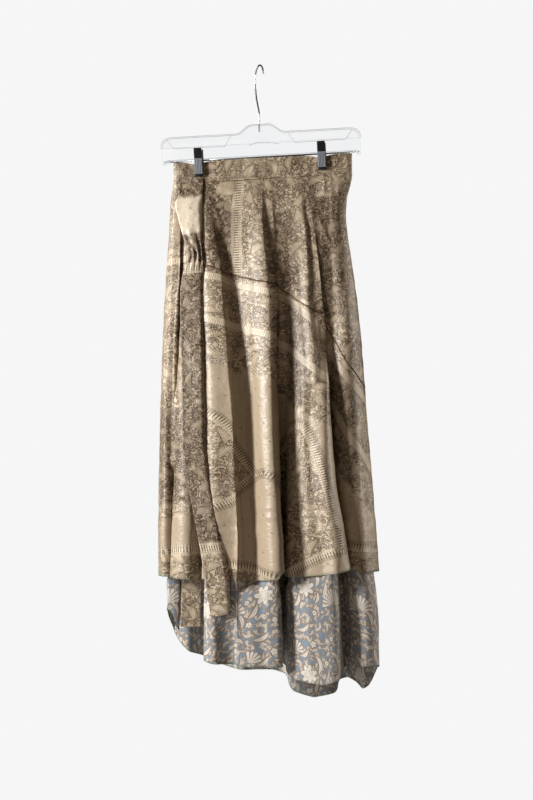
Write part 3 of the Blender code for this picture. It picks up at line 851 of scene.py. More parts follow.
@dataclass(frozen=True)
class GoldSilk:
    """Satin silk printed in brown on cream: ornament, plain fields and comb borders, with painted shade
    in denser fields over the fold valleys and a painted shadow line along the seams.
    """

    name: str
    cream: Colour = (0.80, 0.68, 0.51)
    brown: Colour = (0.055, 0.029, 0.012)
    tan: Colour = (0.40, 0.28, 0.165)
    dull: Colour = (0.43, 0.345, 0.245)
    rust: Colour = (0.20, 0.09, 0.035)
    roughness: float = 0.38
    shift: float = 0.0
    dots: Corner = (0.023, 0.031)

    def flowers(self, graph: Graph, flat: Socket) -> tuple[Field, Field]:
        """Round flowers strewn over the cloth: their brown lines, and 1 within them."""
        spot, own = graph.scattered(flat, 24 * MM)
        reach, turn = graph.reach(spot), graph.turn(spot)
        petals = reach - graph.math("COSINE", turn * 6.0) * 0.05 - (own * 0.09 + 0.17)
        ring = graph.inside(petals.abs(), 0.015, 0.024)
        rays = graph.inside(graph.math("SINE", turn * 6.0).abs() - 0.3, 0.15)
        middle = graph.inside((petals + 0.075).abs(), 0.012, 0.02)
        heart = graph.inside(reach - 0.055, 0.015)
        inner = graph.inside(petals, 0.02)
        return graph.most(ring, rays * inner * 0.5, middle, heart), inner

    def paisleys(self, graph: Graph, flat: Socket) -> tuple[Field, Field]:
        """Large bent drops, each turned its own way: their brown lines, and 1 within them."""
        spot, own = graph.scattered(flat, 36 * MM, 0.7)
        outside, _ = graph.leaf(spot, 0.40, 0.155, 0.9)
        edge = graph.inside(outside.abs(), 0.006, 0.016)
        second = graph.inside((outside + 0.055).abs(), 0.006, 0.010)
        x, _ = graph.axes(spot)
        bead = graph.inside(graph.math("PINGPONG", x, 0.045) - 0.022, 0.006)
        beads = graph.inside((outside - 0.045).abs(), 0.006, 0.02) * bead
        bars = graph.inside(outside + 0.06, 0.006) * bead * 0.6
        lines = graph.most(edge, second, beads * 0.8, bars)
        return lines * (own * 0.5 + 0.5), graph.inside(outside, 0.01)

    def ornament(self, graph: Graph, flat: Socket) -> Field:
        """The dense print: 1 on its brown lines."""
        curl, _ = graph.scattered(flat, 7.0 * MM, 0.13)
        rings = graph.inside(graph.math("SINE", graph.reach(curl) * 12.0), 0.4, -0.1)
        swirl = graph.math("SINE", graph.noise(flat, 78.0, 1.0) * 30.0)
        leaf, own = graph.scattered(flat, 9.0 * MM, 0.41)
        outside, vein = graph.leaf(leaf, 0.46, 0.17, 0.9)
        ground = graph.most(graph.inside(swirl, 0.4, -0.05), rings * own)
        ground = ground * (1.0 - graph.inside(outside, 0.02))
        ink = graph.most(graph.inside(outside.abs(), 0.02, 0.07), ground * 0.85)
        ink = graph.most(ink, graph.inside(vein, 0.02, 0.03))
        for lines, inner in (self.flowers(graph, flat), self.paisleys(graph, flat)):
            ink = graph.most(ink * (1.0 - inner), lines)
        return ink

    def borders(self, graph: Graph) -> tuple[Field, Field]:
        """The comb and hatched borders: their brown lines, and 1 within their width."""
        away, way = graph.axes(graph.flat("comb"))
        tooth = graph.math("PINGPONG", way, 2.2 * MM)
        teeth = graph.inside(tooth, 0.3 * MM, 1.15 * MM)
        rows = graph.inside((away - 2.7 * MM).abs(), 0.3 * MM, 1.9 * MM) * teeth
        beads = graph.inside((away - 8.0 * MM).abs(), 0.3 * MM, 0.8 * MM) * teeth
        edges = graph.inside((away - 5.9 * MM).abs(), 0.2 * MM, 0.4 * MM)
        comb = graph.most(rows, beads * 0.8, edges, graph.inside(away, 0.2 * MM, 0.35 * MM))
        wide, along = graph.axes(graph.flat("hatch"))
        bar = graph.inside(graph.math("PINGPONG", along, 1.5 * MM), 0.3 * MM, 0.6 * MM)
        bars = graph.inside(wide, 0.5 * MM, 4.2 * MM) * bar
        rails = graph.inside((wide - 5.6 * MM).abs(), 0.2 * MM, 0.5 * MM)
        covered = [graph.inside(away, 0.4 * MM, 9.3 * MM), graph.inside(wide, 0.4 * MM, 6.4 * MM)]
        return graph.most(comb, graph.most(bars * 0.6, rails * 0.7)), graph.most(*covered)

    def seam(self, graph: Graph, colour: Socket) -> Socket:
        """The colour, with a dark line painted as the shadow along a seam and under the band, and the
        stitches over it.
        """
        away, way = graph.axes(graph.flat("seam"))
        stitch = graph.inside(graph.math("PINGPONG", way, 3.2 * MM) - 1.6 * MM, 0.4 * MM)
        sewn = graph.mix(stitch, self.brown, self.rust)
        # Painted shadow: the brown line beside a seam and under the band; the dashes in it are the
        # stitches.
        return graph.mix(graph.inside(away, 0.6 * MM, 1.4 * MM) * 0.8, colour, sewn)

    def make(self) -> Material:
        """The finished material."""
        graph = Graph(self.name)
        flat = graph.flat()
        if self.shift:
            flat = graph.vector("ADD", flat, (self.shift, self.shift, 0.0))
        plain, deep = graph.layer("plain"), graph.layer("deep")
        combs, covered = self.borders(graph)
        open_ground = (1.0 - plain) * (1.0 - covered)
        spot = graph.around(flat, (0.004, 0.006), 0.0, self.dots)
        dots = graph.inside(graph.rosette(spot, 1.6 * MM, 5, 0.3), 0.35 * MM) * plain
        # Painted shade: in the fields of dense print over the fold valleys, the side's lower part and the
        # tie's knot, the ink grows here and the ground is darkened towards brown below.
        patchy = graph.noise(flat, 22.0, 2.0) * 2.4 + deep * 0.35 - 0.72
        patchy = graph.most(graph.least(patchy, 1.0), 0.0)
        grain = graph.noise(flat, 520.0, 1.0) * 2.4 - 0.7
        ink = self.ornament(graph, flat) * open_ground * (patchy * 0.4 + 0.6)
        ink = ink * (grain * 0.65 + 0.68)
        ink = graph.most(ink, (grain - 0.75) * open_ground * 1.4, 0.0)
        ink = graph.most(graph.least(ink, 1.0), combs * 0.8, dots * (1.0 - covered) * 0.5)
        drift = graph.noise(flat, 7.0, 1.0)
        silk = graph.mix(graph.most(plain * 0.9, drift * 0.3), self.cream, self.dull)
        silk = graph.mix(open_ground * (patchy * 0.28 + 0.14), silk, self.tan)
        # Painted shade: the ground darkened towards brown in those fields.
        colour = graph.mix(ink, graph.mix(deep * 0.35, silk, self.brown), self.brown)
        slubs = graph.vector("MULTIPLY", flat, (120.0, 900.0, 1.0))
        weave, crumple = graph.noise(slubs, 1.0, 2.0), graph.noise(flat, 60.0, 3.0)
        height = weave * 0.2 + crumple + graph.noise(flat, 170.0, 2.0) * 0.7 - ink * 0.2
        return graph.finished({
            "Base Color": self.seam(graph, colour),
            "Roughness": self.roughness,
            "Specular IOR Level": 0.55,
            "Sheen Weight": 0.12,
            "Sheen Roughness": 0.4,
            "Normal": graph.bump(height, 0.85, 1.3 * MM),
        })


class Motif(NamedTuple):
    """A flower or leaf of a repeat, in mm and degrees: its centre, turn, length and width."""

    u: float
    v: float
    turn: float
    length: float
    width: float = 0.0


BLOSSOMS = (
    Motif(8, 88, 8, 5), Motif(62, 20, 62, 5.5), Motif(104, 22, 104, 4.5),
    Motif(100, 118, 100, 6), Motif(22, 130, 22, 5), Motif(60, 58, 60, 4),
)
LEAVES = (
    Motif(12, 62, 70, 15, 3.6), Motif(50, 30, 115, 17, 3.4), Motif(72, 40, 60, 14, 3.2),
    Motif(112, 84, 100, 17, 3.8), Motif(84, 100, 35, 13, 3.2), Motif(34, 100, 130, 16, 3.4),
    Motif(82, 142, 20, 15, 3.4), Motif(42, 146, 160, 13, 3.0), Motif(112, 48, 75, 12, 2.8),
)


@dataclass(frozen=True)
class BluePrint:
    """Matt silk printed with cream flowers and tan stems on slate blue."""

    name: str
    blue: Colour = (0.255, 0.32, 0.395)
    cream: Colour = (0.76, 0.71, 0.64)
    tan: Colour = (0.29, 0.20, 0.12)
    repeat: Corner = (0.118, 0.150)

    def wavering(self, graph: Graph, flat: Socket) -> Socket:
        """The flat coordinates, a little uneven, so that no two motifs are quite alike."""
        sway = graph.noise(flat, 45.0, 1.0)
        drift = graph.noise(graph.vector("ADD", flat, (0.31, 0.17, 0.0)), 45.0, 1.0)
        uneven = {0: (sway - 0.5) * 0.006, 1: (drift - 0.5) * 0.006}
        moved = graph.vector("ADD", flat, (0.030, 0.034, 0.0))
        return graph.vector("ADD", moved, graph.node("ShaderNodeCombineXYZ", uneven).outputs[0])

    def motifs(self, graph: Graph, spot: Socket) -> tuple[list[Number], list[Number]]:
        """The large flowers and leaves: distances outside their shapes, and outside their lines."""
        every = self.repeat
        fan = graph.around(spot, (0.030, 0.040), 8, every)
        heart = graph.rosette(graph.around(spot, (0.030, 0.037), 0, every), 5 * MM, 5, 0.2)
        lotus = graph.around(spot, (0.088, 0.066), 20, every)
        crest = graph.around(spot, (0.060, 0.104), -42, every)
        shapes: list[Number] = [
            graph.fan(fan, 27 * MM, 11, 1.75), graph.rosette(lotus, 17 * MM, 7, 0.5),
            graph.fan(crest, 20 * MM, 5, 0.95),
        ]
        inks: list[Number] = [
            heart.abs() - 0.6 * MM, graph.rosette(lotus, 8 * MM, 7, 0.6).abs() - 0.5 * MM,
        ]
        for motif in BLOSSOMS:
            small = graph.around(spot, (motif.u * MM, motif.v * MM), motif.turn, every)
            shapes.append(graph.rosette(small, motif.length * MM, 5, 0.42))
            inks.append(graph.reach(small) - 1.1 * MM)
        for motif in LEAVES:
            leaf = graph.around(spot, (motif.u * MM, motif.v * MM), motif.turn, every)
            outside, middle = graph.leaf(leaf, motif.length * MM, motif.width * MM, 26.0)
            shapes.append(outside)
            inks.append(graph.most(middle - 0.35 * MM, outside + 0.8 * MM))
        return shapes, inks

    def ground(self, graph: Graph, spot: Socket, clear: Field) -> tuple[list[Number], list[Number]]:
        """Smaller leaves, twigs and flowers that fill the ground between the large ones.

        Args:
            graph: the material's nodes.
            spot: the flat coordinates.
            clear: the distance outside the large shapes.

        Returns:
            Distances outside their shapes, and outside their lines.
        """
        shapes: list[Number] = []
        inks: list[Number] = []
        for size, shift, length in ((20 * MM, 0.2, 0.48), (14 * MM, 0.5, 0.44)):
            small, _ = graph.scattered(spot, size, shift)
            outside, middle = graph.leaf(small, length, 0.12, 1.1)
            held = graph.most(outside * size, 2.6 * MM - clear)
            shapes.append(held)
            inks.append(graph.most(middle * size - 0.4 * MM, held + 0.7 * MM))
            twig, _ = graph.scattered(spot, size, shift + 0.33)
            thin, _ = graph.leaf(twig, 0.44, 0.045, 1.5)
            inks.append(graph.most(thin * size, 1.4 * MM - clear))
        size = 15 * MM
        small, _ = graph.scattered(spot, size, 0.9)
        reach = graph.reach(small)
        petal = reach - graph.math("COSINE", graph.turn(small) * 5.0) * 0.06 - 0.17
        shapes.append(graph.most(petal * size, 1.2 * MM - clear))
        inks.append(graph.most(reach * size - 0.9 * MM, 1.2 * MM - clear))
        return shapes, inks

    def stems(self, graph: Graph, spot: Socket, cream: Field) -> list[Number]:
        """The distance outside each of the long winding stems, which stop at a cream shape."""
        width, height = self.repeat
        x, y = graph.axes(spot)
        found: list[Number] = []
        for phase, offset, swing in ((0.0, 18, 9), (2.1, 58, 11), (4.0, 96, 8)):
            sway = graph.math("SINE", y * (2 * math.pi / height) + phase) * (swing * MM)
            stem = graph.math("WRAP", x - sway - offset * MM, width / 2, -width / 2)
            found.append(graph.most(stem.abs() - 0.9 * MM, 0.6 * MM - cream))
        return found

    def make(self) -> Material:
        """The finished material."""
        graph = Graph(self.name)
        flat = graph.flat()
        spot = self.wavering(graph, flat)
        shapes, inks = self.motifs(graph, spot)
        more_shapes, more_inks = self.ground(graph, spot, graph.least(*shapes))
        cream = graph.least(*shapes, *more_shapes)
        outline = (cream - 0.5 * MM).abs() - 0.7 * MM
        inks = [outline, *inks, *more_inks, *self.stems(graph, spot, cream)]
        drawn = graph.inside(graph.least(*inks), 0.3 * MM)
        dim = tuple(0.78 * tone for tone in self.blue)
        colour = graph.mix(graph.noise(flat, 90.0, 2.0), self.blue, dim)
        colour = graph.mix(graph.inside(cream, 0.3 * MM) * 0.92, colour, self.cream)
        threads = graph.noise(graph.scaled(flat, 1400.0), 1.0, 1.0)
        return graph.finished({
            "Base Color": graph.mix(drawn * 0.85, colour, self.tan),
            "Roughness": 0.62,
            "Specular IOR Level": 0.35,
            "Sheen Weight": 0.2,
            "Normal": graph.bump(threads + graph.noise(flat, 70.0, 3.0) * 2.0, 0.4, 0.4 * MM),
        })


@dataclass(frozen=True)
class Plain:
    """A finish with one colour, a little mottled, such as metal, rubber or thread."""

    name: str
    colour: Colour
    roughness: float
    metallic: float = 0.0
    grain: float = 300.0
    relief: float = 0.05 * MM

    def make(self) -> Material:
        """The finished material."""
        graph = Graph(self.name)
        mottle = graph.noise(graph.place(), self.grain, 2.0)
        darker = tuple(0.7 * tone for tone in self.colour)
        return graph.finished({
            "Base Color": graph.mix(mottle, self.colour, darker),
            "Roughness": self.roughness,
            "Metallic": self.metallic,
            "Normal": graph.bump(mottle, 0.3, self.relief),
        })


@dataclass(frozen=True)
class ClearPlastic:
    """Clear moulded acrylic with a faint haze."""

    name: str = "clear_acrylic"

    def make(self) -> Material:
        """The finished material."""
        graph = Graph(self.name)
        return graph.finished({
            "Base Color": (0.97, 0.98, 0.985, 1.0),
            "Transmission Weight": 1.0,
            "IOR": 1.45,
            "Roughness": graph.noise(graph.place(), 40.0, 3.0) * 0.10,
        })


# ---- meshes


def mesh_of(name: str, bm: bmesh.types.BMesh) -> bpy.types.Mesh:
    """A mesh from Blender's editable kind, which is used up."""
    mesh = bpy.data.meshes.new(name)
    bm.to_mesh(mesh)
    bm.free()
    return mesh


def link(name: str, mesh: bpy.types.Mesh, finish: Material) -> Piece:
    """An object for a mesh, in the scene and with its material."""
    made = bpy.data.objects.new(name, mesh)
    bpy.context.scene.collection.objects.link(made)
    mesh.materials.clear()
    mesh.materials.append(finish)
    return made


def surface(
    name: str, points: Array, spots: Array, finish: Material, chart: Chart = Chart(),
    seam: Array | None = None,
) -> Piece:
    """A sheet of cloth from a grid: its vertices are moved to the points.

    Args:
        name: the piece's name.
        points: the place of each vertex, row by row from the top and along each row.
        spots: the flat u and v of each.
        finish: its material.
        chart: where the parts of its print lie.
        seam: each vertex's distance from a cross seam or from the band's foot, where a painted shadow
            line runs, in metres, or None.

    Returns:
        The sheet as a single layer of faces that point outward.
    """
    rows, columns = points.shape[0] - 1, points.shape[1] - 1
    bm = bmesh.new()
    bm.loops.layers.uv.new("cut")
    bmesh.ops.create_grid(bm, x_segments=columns, y_segments=rows, size=0.5, calc_uvs=True)
    mesh = mesh_of(name, bm)
    flat = np.zeros(len(mesh.vertices) * 3, np.float32)
    mesh.vertices.foreach_get("co", flat)
    flat = flat.reshape(-1, 3)
    column = np.round((flat[:, 0] + 0.5) * columns).astype(int)
    row = np.round((0.5 - flat[:, 1]) * rows).astype(int)
    mesh.vertices.foreach_set("co", points[row, column].astype(np.float32).ravel())
    corner = np.zeros(len(mesh.loops), np.int32)
    mesh.loops.foreach_get("vertex_index", corner)
    reading = {"cut": spots, **chart.read(spots)}
    away = np.full(spots.shape[:-1], FAR) if seam is None else seam
    reading["seam"] = np.stack([away, spots[..., 0]], axis=-1)
    for layer in ("comb", "hatch", "seam"):
        mesh.uv_layers.new(name=layer)
    for layer in ("cut", "comb", "hatch", "seam"):
        uvs = reading[layer][row, column][corner].astype(np.float32)
        mesh.uv_layers[layer].data.foreach_set("uv", uvs.ravel())
    # The plain fields, and the fields of dense print with painted shade.
    for layer in ("plain", "deep"):
        values = mesh.attributes.new(layer, "FLOAT", "POINT")
        values.data.foreach_set("value", reading[layer][row, column].astype(np.float32))
    mesh.shade_smooth()
    mesh.update()
    return link(name, mesh, finish)


def thicken(piece: Piece, thick: float) -> Piece:
    """Gives a sheet its thickness on its inner side."""
    wall = piece.modifiers.new("thickness", "SOLIDIFY")
    wall.thickness, wall.offset = thick, -1.0
    return piece


def curve(name: str, points: Sequence[Vector], radius: float, finish: Material, sides: int = 4) -> Piece:
    """A round wire or thread along points, as a mesh.

    Args:
        name: the piece's name.
        points: where it runs.
        radius: half its thickness.
        finish: its material.
        sides: how finely its round section is cut.

    Returns:
        The wire.
    """
    data = bpy.data.curves.new(name, "CURVE")
    data.dimensions = "3D"
    data.bevel_depth = radius
    data.bevel_resolution = sides
    data.use_fill_caps = True
    line = data.splines.new("POLY")
    line.points.add(len(points) - 1)
    for point, spot in zip(line.points, points):
        point.co = (*spot, 1)
    held = bpy.data.objects.new(name, data)
    mesh = bpy.data.meshes.new_from_object(held)
    bpy.data.objects.remove(held)
    bpy.data.curves.remove(data)
    bm = bmesh.new()
    bm.from_mesh(mesh)
    bmesh.ops.remove_doubles(bm, verts=bm.verts, dist=1e-6)
    bmesh.ops.recalc_face_normals(bm, faces=bm.faces)
    bm.to_mesh(mesh)
    bm.free()
    mesh.name = name
    mesh.shade_smooth()
    return link(name, mesh, finish)


def repeated(name: str, template: Piece, origins: Array, axes: Array) -> Piece:
    """Copies of a small piece joined in one mesh, each at its own origin and on its own axes.

    Args:
        name: the joined piece's name.
        template: the small piece, about the origin. It is used up.
        origins: the origin of each copy.
        axes: the x, y and z axes of each copy, as rows of a 3 by 3 array.

    Returns:
        The joined piece.
    """
    array = template.modifiers.new("copies", "ARRAY")
    array.fit_type = "FIXED_COUNT"
    array.count = len(origins)
    array.use_relative_offset = False
    graph = bpy.context.evaluated_depsgraph_get()
    mesh = bpy.data.meshes.new_from_object(template.evaluated_get(graph))
    small = np.array([vertex.co for vertex in template.data.vertices])
    finish = template.data.materials[0]
    points = origins[:, None, :] + np.einsum("vk,nkj->nvj", small, axes)
    mesh.vertices.foreach_set("co", points.astype(np.float32).ravel())
    mesh.update()
    bpy.data.objects.remove(template)
    return link(name, mesh, finish)


def log_cut(name: str, width: float, length: float) -> None:
    """Logs how large a piece of cloth was cut."""
    LOG.info("%s is cut %.0f by %.0f mm", name, width / MM, length / MM)


def dress(piece: Piece, slot: Slot, *nodes: str) -> Piece:
    """Rides a piece on the body and lets it stand for solids."""
    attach(piece, BODY)
    if nodes:
        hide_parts(*nodes)
    LOG.info("%s: %d faces", piece.name, len(piece.data.polygons))
    return piece


# ---- sewing


@dataclass
class Overlock:
    """The serged edge of a hem: slanted thread loops over the cloth's edge."""

    finish: Material
    pitch: float = 2.0 * MM
    reach: float = 3.2 * MM
    thread: float = 0.24 * MM

    def loop(self) -> Piece:
        """One loop: across the face, over the edge and back up behind."""
        half, low = SILK_THICK / 2 + self.thread * 0.6, 0.1 * self.reach
        course = ((0, half, self.reach), (0.5, half, low), (0.6, 0, -1.2 * self.thread),
                  (0.7, -half, low), (1.2, -half, self.reach))
        points = [Vector((step * self.pitch, out, up)) for step, out, up in course]
        return curve("loop", points, self.thread, self.finish, 0)

    def sew(self, name: str, points: Array, slot: Slot) -> Piece:
        """Sews the lowest row of a sheet's points.

        Args:
            name: the piece's name.
            points: the sheet's grid of points.
            slot: not used.

        Returns:
            The stitching as one mesh.
        """
        edge, above = points[-1], points[-2]
        along = distances(edge)
        stops = np.arange(0, along[-1] - self.pitch, self.pitch)
        origins = read_at(edge, along, stops)
        way = unit(read_at(edge, along, stops + self.pitch) - origins)
        up = unit(read_at(above, along, stops) - origins)
        out = unit(np.cross(way, up))
        inward = origins - out * (SILK_THICK / 2)
        axes = np.stack([way, out, up], axis=1)
        return dress(repeated(name, self.loop(), inward, axes), slot)


@dataclass
class Topstitch:
    """A line of short straight stitches on a seam."""

    finish: Material
    pitch: float = 3.0 * MM
    length: float = 2.1 * MM
    thread: float = 0.2 * MM

    def stitch(self) -> Piece:
        """One stitch: its middle on the cloth and its ends sunk into it."""
        half, rise = self.length / 2, self.thread * 0.6
        ends = ((-half, -self.thread), (-half * 0.6, rise), (half * 0.6, rise), (half, -self.thread))
        points = [Vector((along, 0, up)) for along, up in ends]
        return curve("stitch", points, self.thread, self.finish, 0)

    def sew(self, name: str, line: Array, out: Array, slot: Slot) -> Piece:
        """Sews along a line of points on the cloth.

        Args:
            name: the piece's name.
            line: the points to sew along.
            out: the outward direction at each.
            slot: not used.

        Returns:
            The stitches as one mesh.
        """
        along = distances(line)
        stops = np.arange(self.pitch / 2, along[-1] - self.pitch, self.pitch)
        origins = read_at(line, along, stops)
        way = unit(read_at(line, along, stops + self.pitch) - origins)
        outward = unit(read_at(out, along, stops))
        axes = np.stack([way, np.cross(outward, way), outward], axis=1)
        return dress(repeated(name, self.stitch(), origins, axes), slot)


# ---- cloth


@dataclass
class Panel:
    """One cut piece of either layer, hung on the folds."""

    name: str
    node: str
    cut: Cut
    rows: Corner
    under: bool
    slot: Slot
    finish: Material
    creases: tuple[Crease | Swell, ...] = ()
    chart: Chart = Chart()
    cell: float = CELL
    seed: int = 1
    rumple: float = 0.25 * MM
    rumple_size: float = 30 * MM
    seam_above: bool = False
    seam_below: bool = False
    hem_creases: tuple[Swell, ...] = ()
    points: Array = field(init=False, repr=False)
    spots: Array = field(init=False, repr=False)
    seam: Array = field(init=False, repr=False)

    def levels(self) -> Array:
        """The rows of the mesh, closer together beside a seam or a hem."""
        first, last = self.rows
        middle = (self.cut.first + self.cut.last) / 2
        ends = self.cut.wrap.drop_of(np.array([middle, middle]), np.array([first, last]))
        length = float((ends[1] - ends[0]) * self.cut.length)
        count = max(4, round(length / self.cell))
        share = np.linspace(0, 1, count + 1)
        near = np.array(EDGE_ROWS) / length
        return first + (last - first) * np.unique(np.concatenate([share, near, 1 - near]))

    def outward(self, place: Array, row: Array, drop: Array) -> Array:
        """How far the creases and seams move the cloth out of the folds' plain form.

        Args:
            place: each vertex's place along the folds.
            row: its row.
            drop: its share of the drop.

        Returns:
            The distance, in metres.
        """
        off = relief(self.spots, self.creases)
        if self.under:
            shown = np.clip((row - SHOWN_ROW) / SHOWN_OVER, 0, 1)
            off = off * (1 - shown) + relief(self.spots, self.hem_creases) * shown
            off = off - UNDER_INSET * (1 - shown) * np.clip(drop / LAYER_EASE_BY, 0, 1)
        off = off + rumple(self.spots, self.rumple_size, self.rumple, self.seed)
        room = ROOM_SHARE * np.abs(self.cut.wrap.plan(place, drop)[..., 1]) + ROOM_LEAST
        off = np.where(off < 0, -room * (1 - np.exp(off / room)), off)
        if self.seam_above:
            below = (row - self.rows[0]) * self.cut.length
            off = off - SEAM_TUCK * np.exp(-(below / SEAM_OVER))
        if self.seam_below:
            above = (self.rows[1] - row) * self.cut.length
            off = off + SEAM_LIP * np.exp(-(above / SEAM_OVER))
        return off

    def shape(self) -> None:
        """Works out the place and the flat spot of every vertex."""
        wrap = self.cut.wrap
        place, row = np.meshgrid(self.cut.even_places(self.cell), self.levels())
        drop = wrap.drop_of(place, row)
        self.spots = self.cut.spot(place, drop)
        # Distance from the band's foot and from the cross seam, where a painted shadow line runs.
        self.seam = np.abs(drop) * self.cut.length
        if self.seam_above or self.seam_below:
            crossed = wrap.drop_of(place, np.ones_like(row))
            self.seam = np.minimum(self.seam, np.abs(drop - crossed) * self.cut.length)
        z = wrap.height(place, drop)
        if self.seam_above:
            z = z - SEAM_GAP / 2 * (self.rows[1] - row)
        inset = LAYER_OFFSET + LAYER_EASE * np.clip(drop / LAYER_EASE_BY, 0, 1)
        layer = WALL / 2 - inset if self.under else WALL / 2 + LAYER_OFFSET
        distance = layer + self.outward(place, row, drop)
        flat = wrap.stand_off(place, drop, distance, self.under)
        reach = np.clip((flat[..., 0] - DRAWN_FROM_X) / DRAWN_OVER, 0, 1)
        drawn = DRAWN_IN * np.interp(drop, DRAWN_DROPS, DRAWN_SHARES)
        flat[..., 0] -= drawn * reach * reach * (3 - 2 * reach)
        self.points = np.concatenate([flat, z[..., None]], axis=-1)
        for edge, inner in ((0, 1), (-1, -2)):
            run = unit(self.points[:, inner] - self.points[:, edge])
            self.points[:, edge] += run * (SEAM_GAP / 2)

    def build(self) -> Piece:
        """The panel as a thin sheet."""
        self.shape()
        flat = (self.points, self.spots, self.finish, self.chart, self.seam)
        return thicken(surface(self.name, *flat), SILK_THICK)

    def area(self) -> tuple[float, float, float]:
        """The cut's width, length and area, in metres."""
        low, high = self.spots.min(axis=(0, 1)), self.spots.max(axis=(0, 1))
        a, b = self.spots[:-1, :-1], self.spots[1:, 1:]
        c, d = self.spots[1:, :-1], self.spots[:-1, 1:]
        first, second = b - a, d - c
        area = 0.5 * np.abs(first[..., 0] * second[..., 1] - first[..., 1] * second[..., 0]).sum()
        return float(high[0] - low[0]), float(high[1] - low[1]), float(area)

    def declare(self, piece: Piece, with_pieces: list[Piece]) -> None:
        """Rides the panel on the body, and says how large it was cut."""
        dress(piece, self.slot, self.node)
        width, length, area = self.area()
        log_cut(self.name, width, length)


@dataclass
class Skirt:
    """Both layers of the wrap, panel by panel."""

    silk: Material
    print: Material
    overlock: Overlock

    def panels(self) -> list[Panel]:
        """Every panel, each in place of one solid."""
        top = -0.02
        ahead = {"creases": FRONT_CREASES, "seed": 3}
        behind = {"creases": BACK_CREASES, "seed": 5}
        front = {**ahead, "chart": FRONT_CHART}
        back = {**behind, "chart": BACK_CHART, "cell": 4.5 * MM}
        found: list[Panel] = []

        def over(part: str, cut: Cut, rows: Corner, **more: object) -> None:
            """Adds a panel of the overskirt."""
            names = (f"{part}_cloth", f"overskirt_{part}")
            found.append(Panel(*names, cut, rows, False, Slot.SILK, self.silk, **more))

        def under(part: str, cut: Cut, rows: Corner, **more: object) -> None:
            """Adds a panel of the underskirt."""
            names = (f"under_{part}_cloth", f"underskirt_{part}")
            found.append(Panel(*names, cut, rows, True, Slot.PRINT, self.print, **more))

        over("front_upper", FRONT_CUT, (top, 1), seam_below=True, **front)
        over("front_lower", FRONT_CUT, (1, 2), seam_above=True, **front)
        over("back_upper", BACK_CUT, (top, 1), seam_below=True, **back)
        over("back_lower", BACK_CUT, (1, 2), seam_above=True, **back)
        over("side", SIDE_CUT, (top, 2), creases=SIDE_CREASES, chart=SIDE_CHART, seed=7)
        low = {"hem_creases": HEM_SWELLS, **ahead}
        under("front_upper", FRONT_CUT, (top, UNDER_SEAM), cell=6 * MM, **ahead)
        under("front_lower", FRONT_CUT, (UNDER_SEAM, 3), cell=4.4 * MM, **low)
        under("back_upper", BACK_CUT, (top, 1), cell=6 * MM, **behind)
        under("back_middle", BACK_CUT, (1, UNDER_SEAM), cell=6 * MM, **behind)
        under("back_lower", BACK_CUT, (UNDER_SEAM, 3), cell=4.6 * MM, **behind)
        under("side", UNDER_SIDE_CUT, (top, 3), seed=7)
        return found

    def build(self) -> None:
        for panel in self.panels():
            piece = panel.build()
            sewn = []
            if panel.rows[1] >= 2:
                sewn.append(self.overlock.sew(f"{panel.name}_hem", panel.points, panel.slot))
            panel.declare(piece, sewn)


@dataclass
class Waistband:
    """The folded band: an outer and an inner face with the fold on top."""

    finish: Material
    topstitch: Topstitch
    cell: float = 3.2 * MM
    puckers: float = 0.5 * MM
    pucker_size: float = 17 * MM
    grip_reach: float = 9 * MM
    seam_share: float = 0.07
    seam_sink: float = 0.55 * MM
    seam_reach: float = 2.2 * MM
    fold_from: float = 0.97
    stitched_row: int = -3

    def section(self) -> Array:
        """Share of the height and side of each row, from the outer foot over to the inner one."""
        rise = np.linspace(-0.02, self.fold_from, 12)
        turn = np.linspace(math.pi / 10, math.pi * 9 / 10, 6)
        outer = np.stack([rise, np.ones_like(rise)], axis=1)
        over = np.stack([self.fold_from + (1 - self.fold_from) * np.sin(turn), np.cos(turn)], axis=1)
        inner = np.stack([rise[::-1], -np.ones_like(rise)], axis=1)
        return np.concatenate([outer, over, inner])[::-1]

    def build(self) -> Piece:
        """The band, with its stitches, in place of its solid."""
        fine = np.linspace(0, WRAP.last, 8 * WRAP.last + 1)
        level = WRAP.plan(fine, np.zeros_like(fine))
        along = distances(level)
        arc = np.linspace(0, along[-1], round(along[-1] / self.cell) + 1)
        places = np.interp(arc, along, fine)
        section = self.section()
        place, share = np.meshgrid(places, section[:, 0])
        _, side = np.meshgrid(places, section[:, 1])
        middle = WRAP.plan(place, np.zeros_like(place))
        foot, top = band_foot(middle[..., 0]), band_top(middle[..., 0])
        spots = np.stack(
            [np.broadcast_to(arc, place.shape), BAND_HEIGHT * np.sign(side) * (share - 1)], axis=-1
        )
        grip = sum(np.exp(-(((middle[..., 0] - x) / self.grip_reach) ** 2)) for x in CLIP_X)
        loose = np.clip(1 - grip, 0, 1) * np.sin(np.pi * np.clip(share, 0, 1)) ** 0.7
        tall = spots * np.array([1.0, 0.35])
        bulge = rumple(tall, self.pucker_size, self.puckers, 11) * loose
        above = (share - self.seam_share) * BAND_HEIGHT
        ease = self.seam_sink * np.exp(-((above / self.seam_reach) ** 2))
        distance = side * (BAND_WALL / 2 - ease) + bulge
        flat = WRAP.stand_off(place, np.zeros_like(place), distance)
        z = foot + (top - foot) * share
        points = np.concatenate([flat, z[..., None]], axis=-1)
        piece = thicken(surface("waist_band", points, spots, self.finish), SILK_THICK)
        dress(piece, Slot.BAND, "waistband")
        out = np.zeros_like(points[self.stitched_row])
        out[:, :2] = flat[self.stitched_row] - WRAP.plan(places, np.zeros_like(places))
        line = points[self.stitched_row]
        stitches = self.topstitch.sew("band_stitches", line, out, Slot.BAND)
        width, length = float(along[-1]), 2 * BAND_HEIGHT
        log_cut("waist_band", width, length)
        return piece


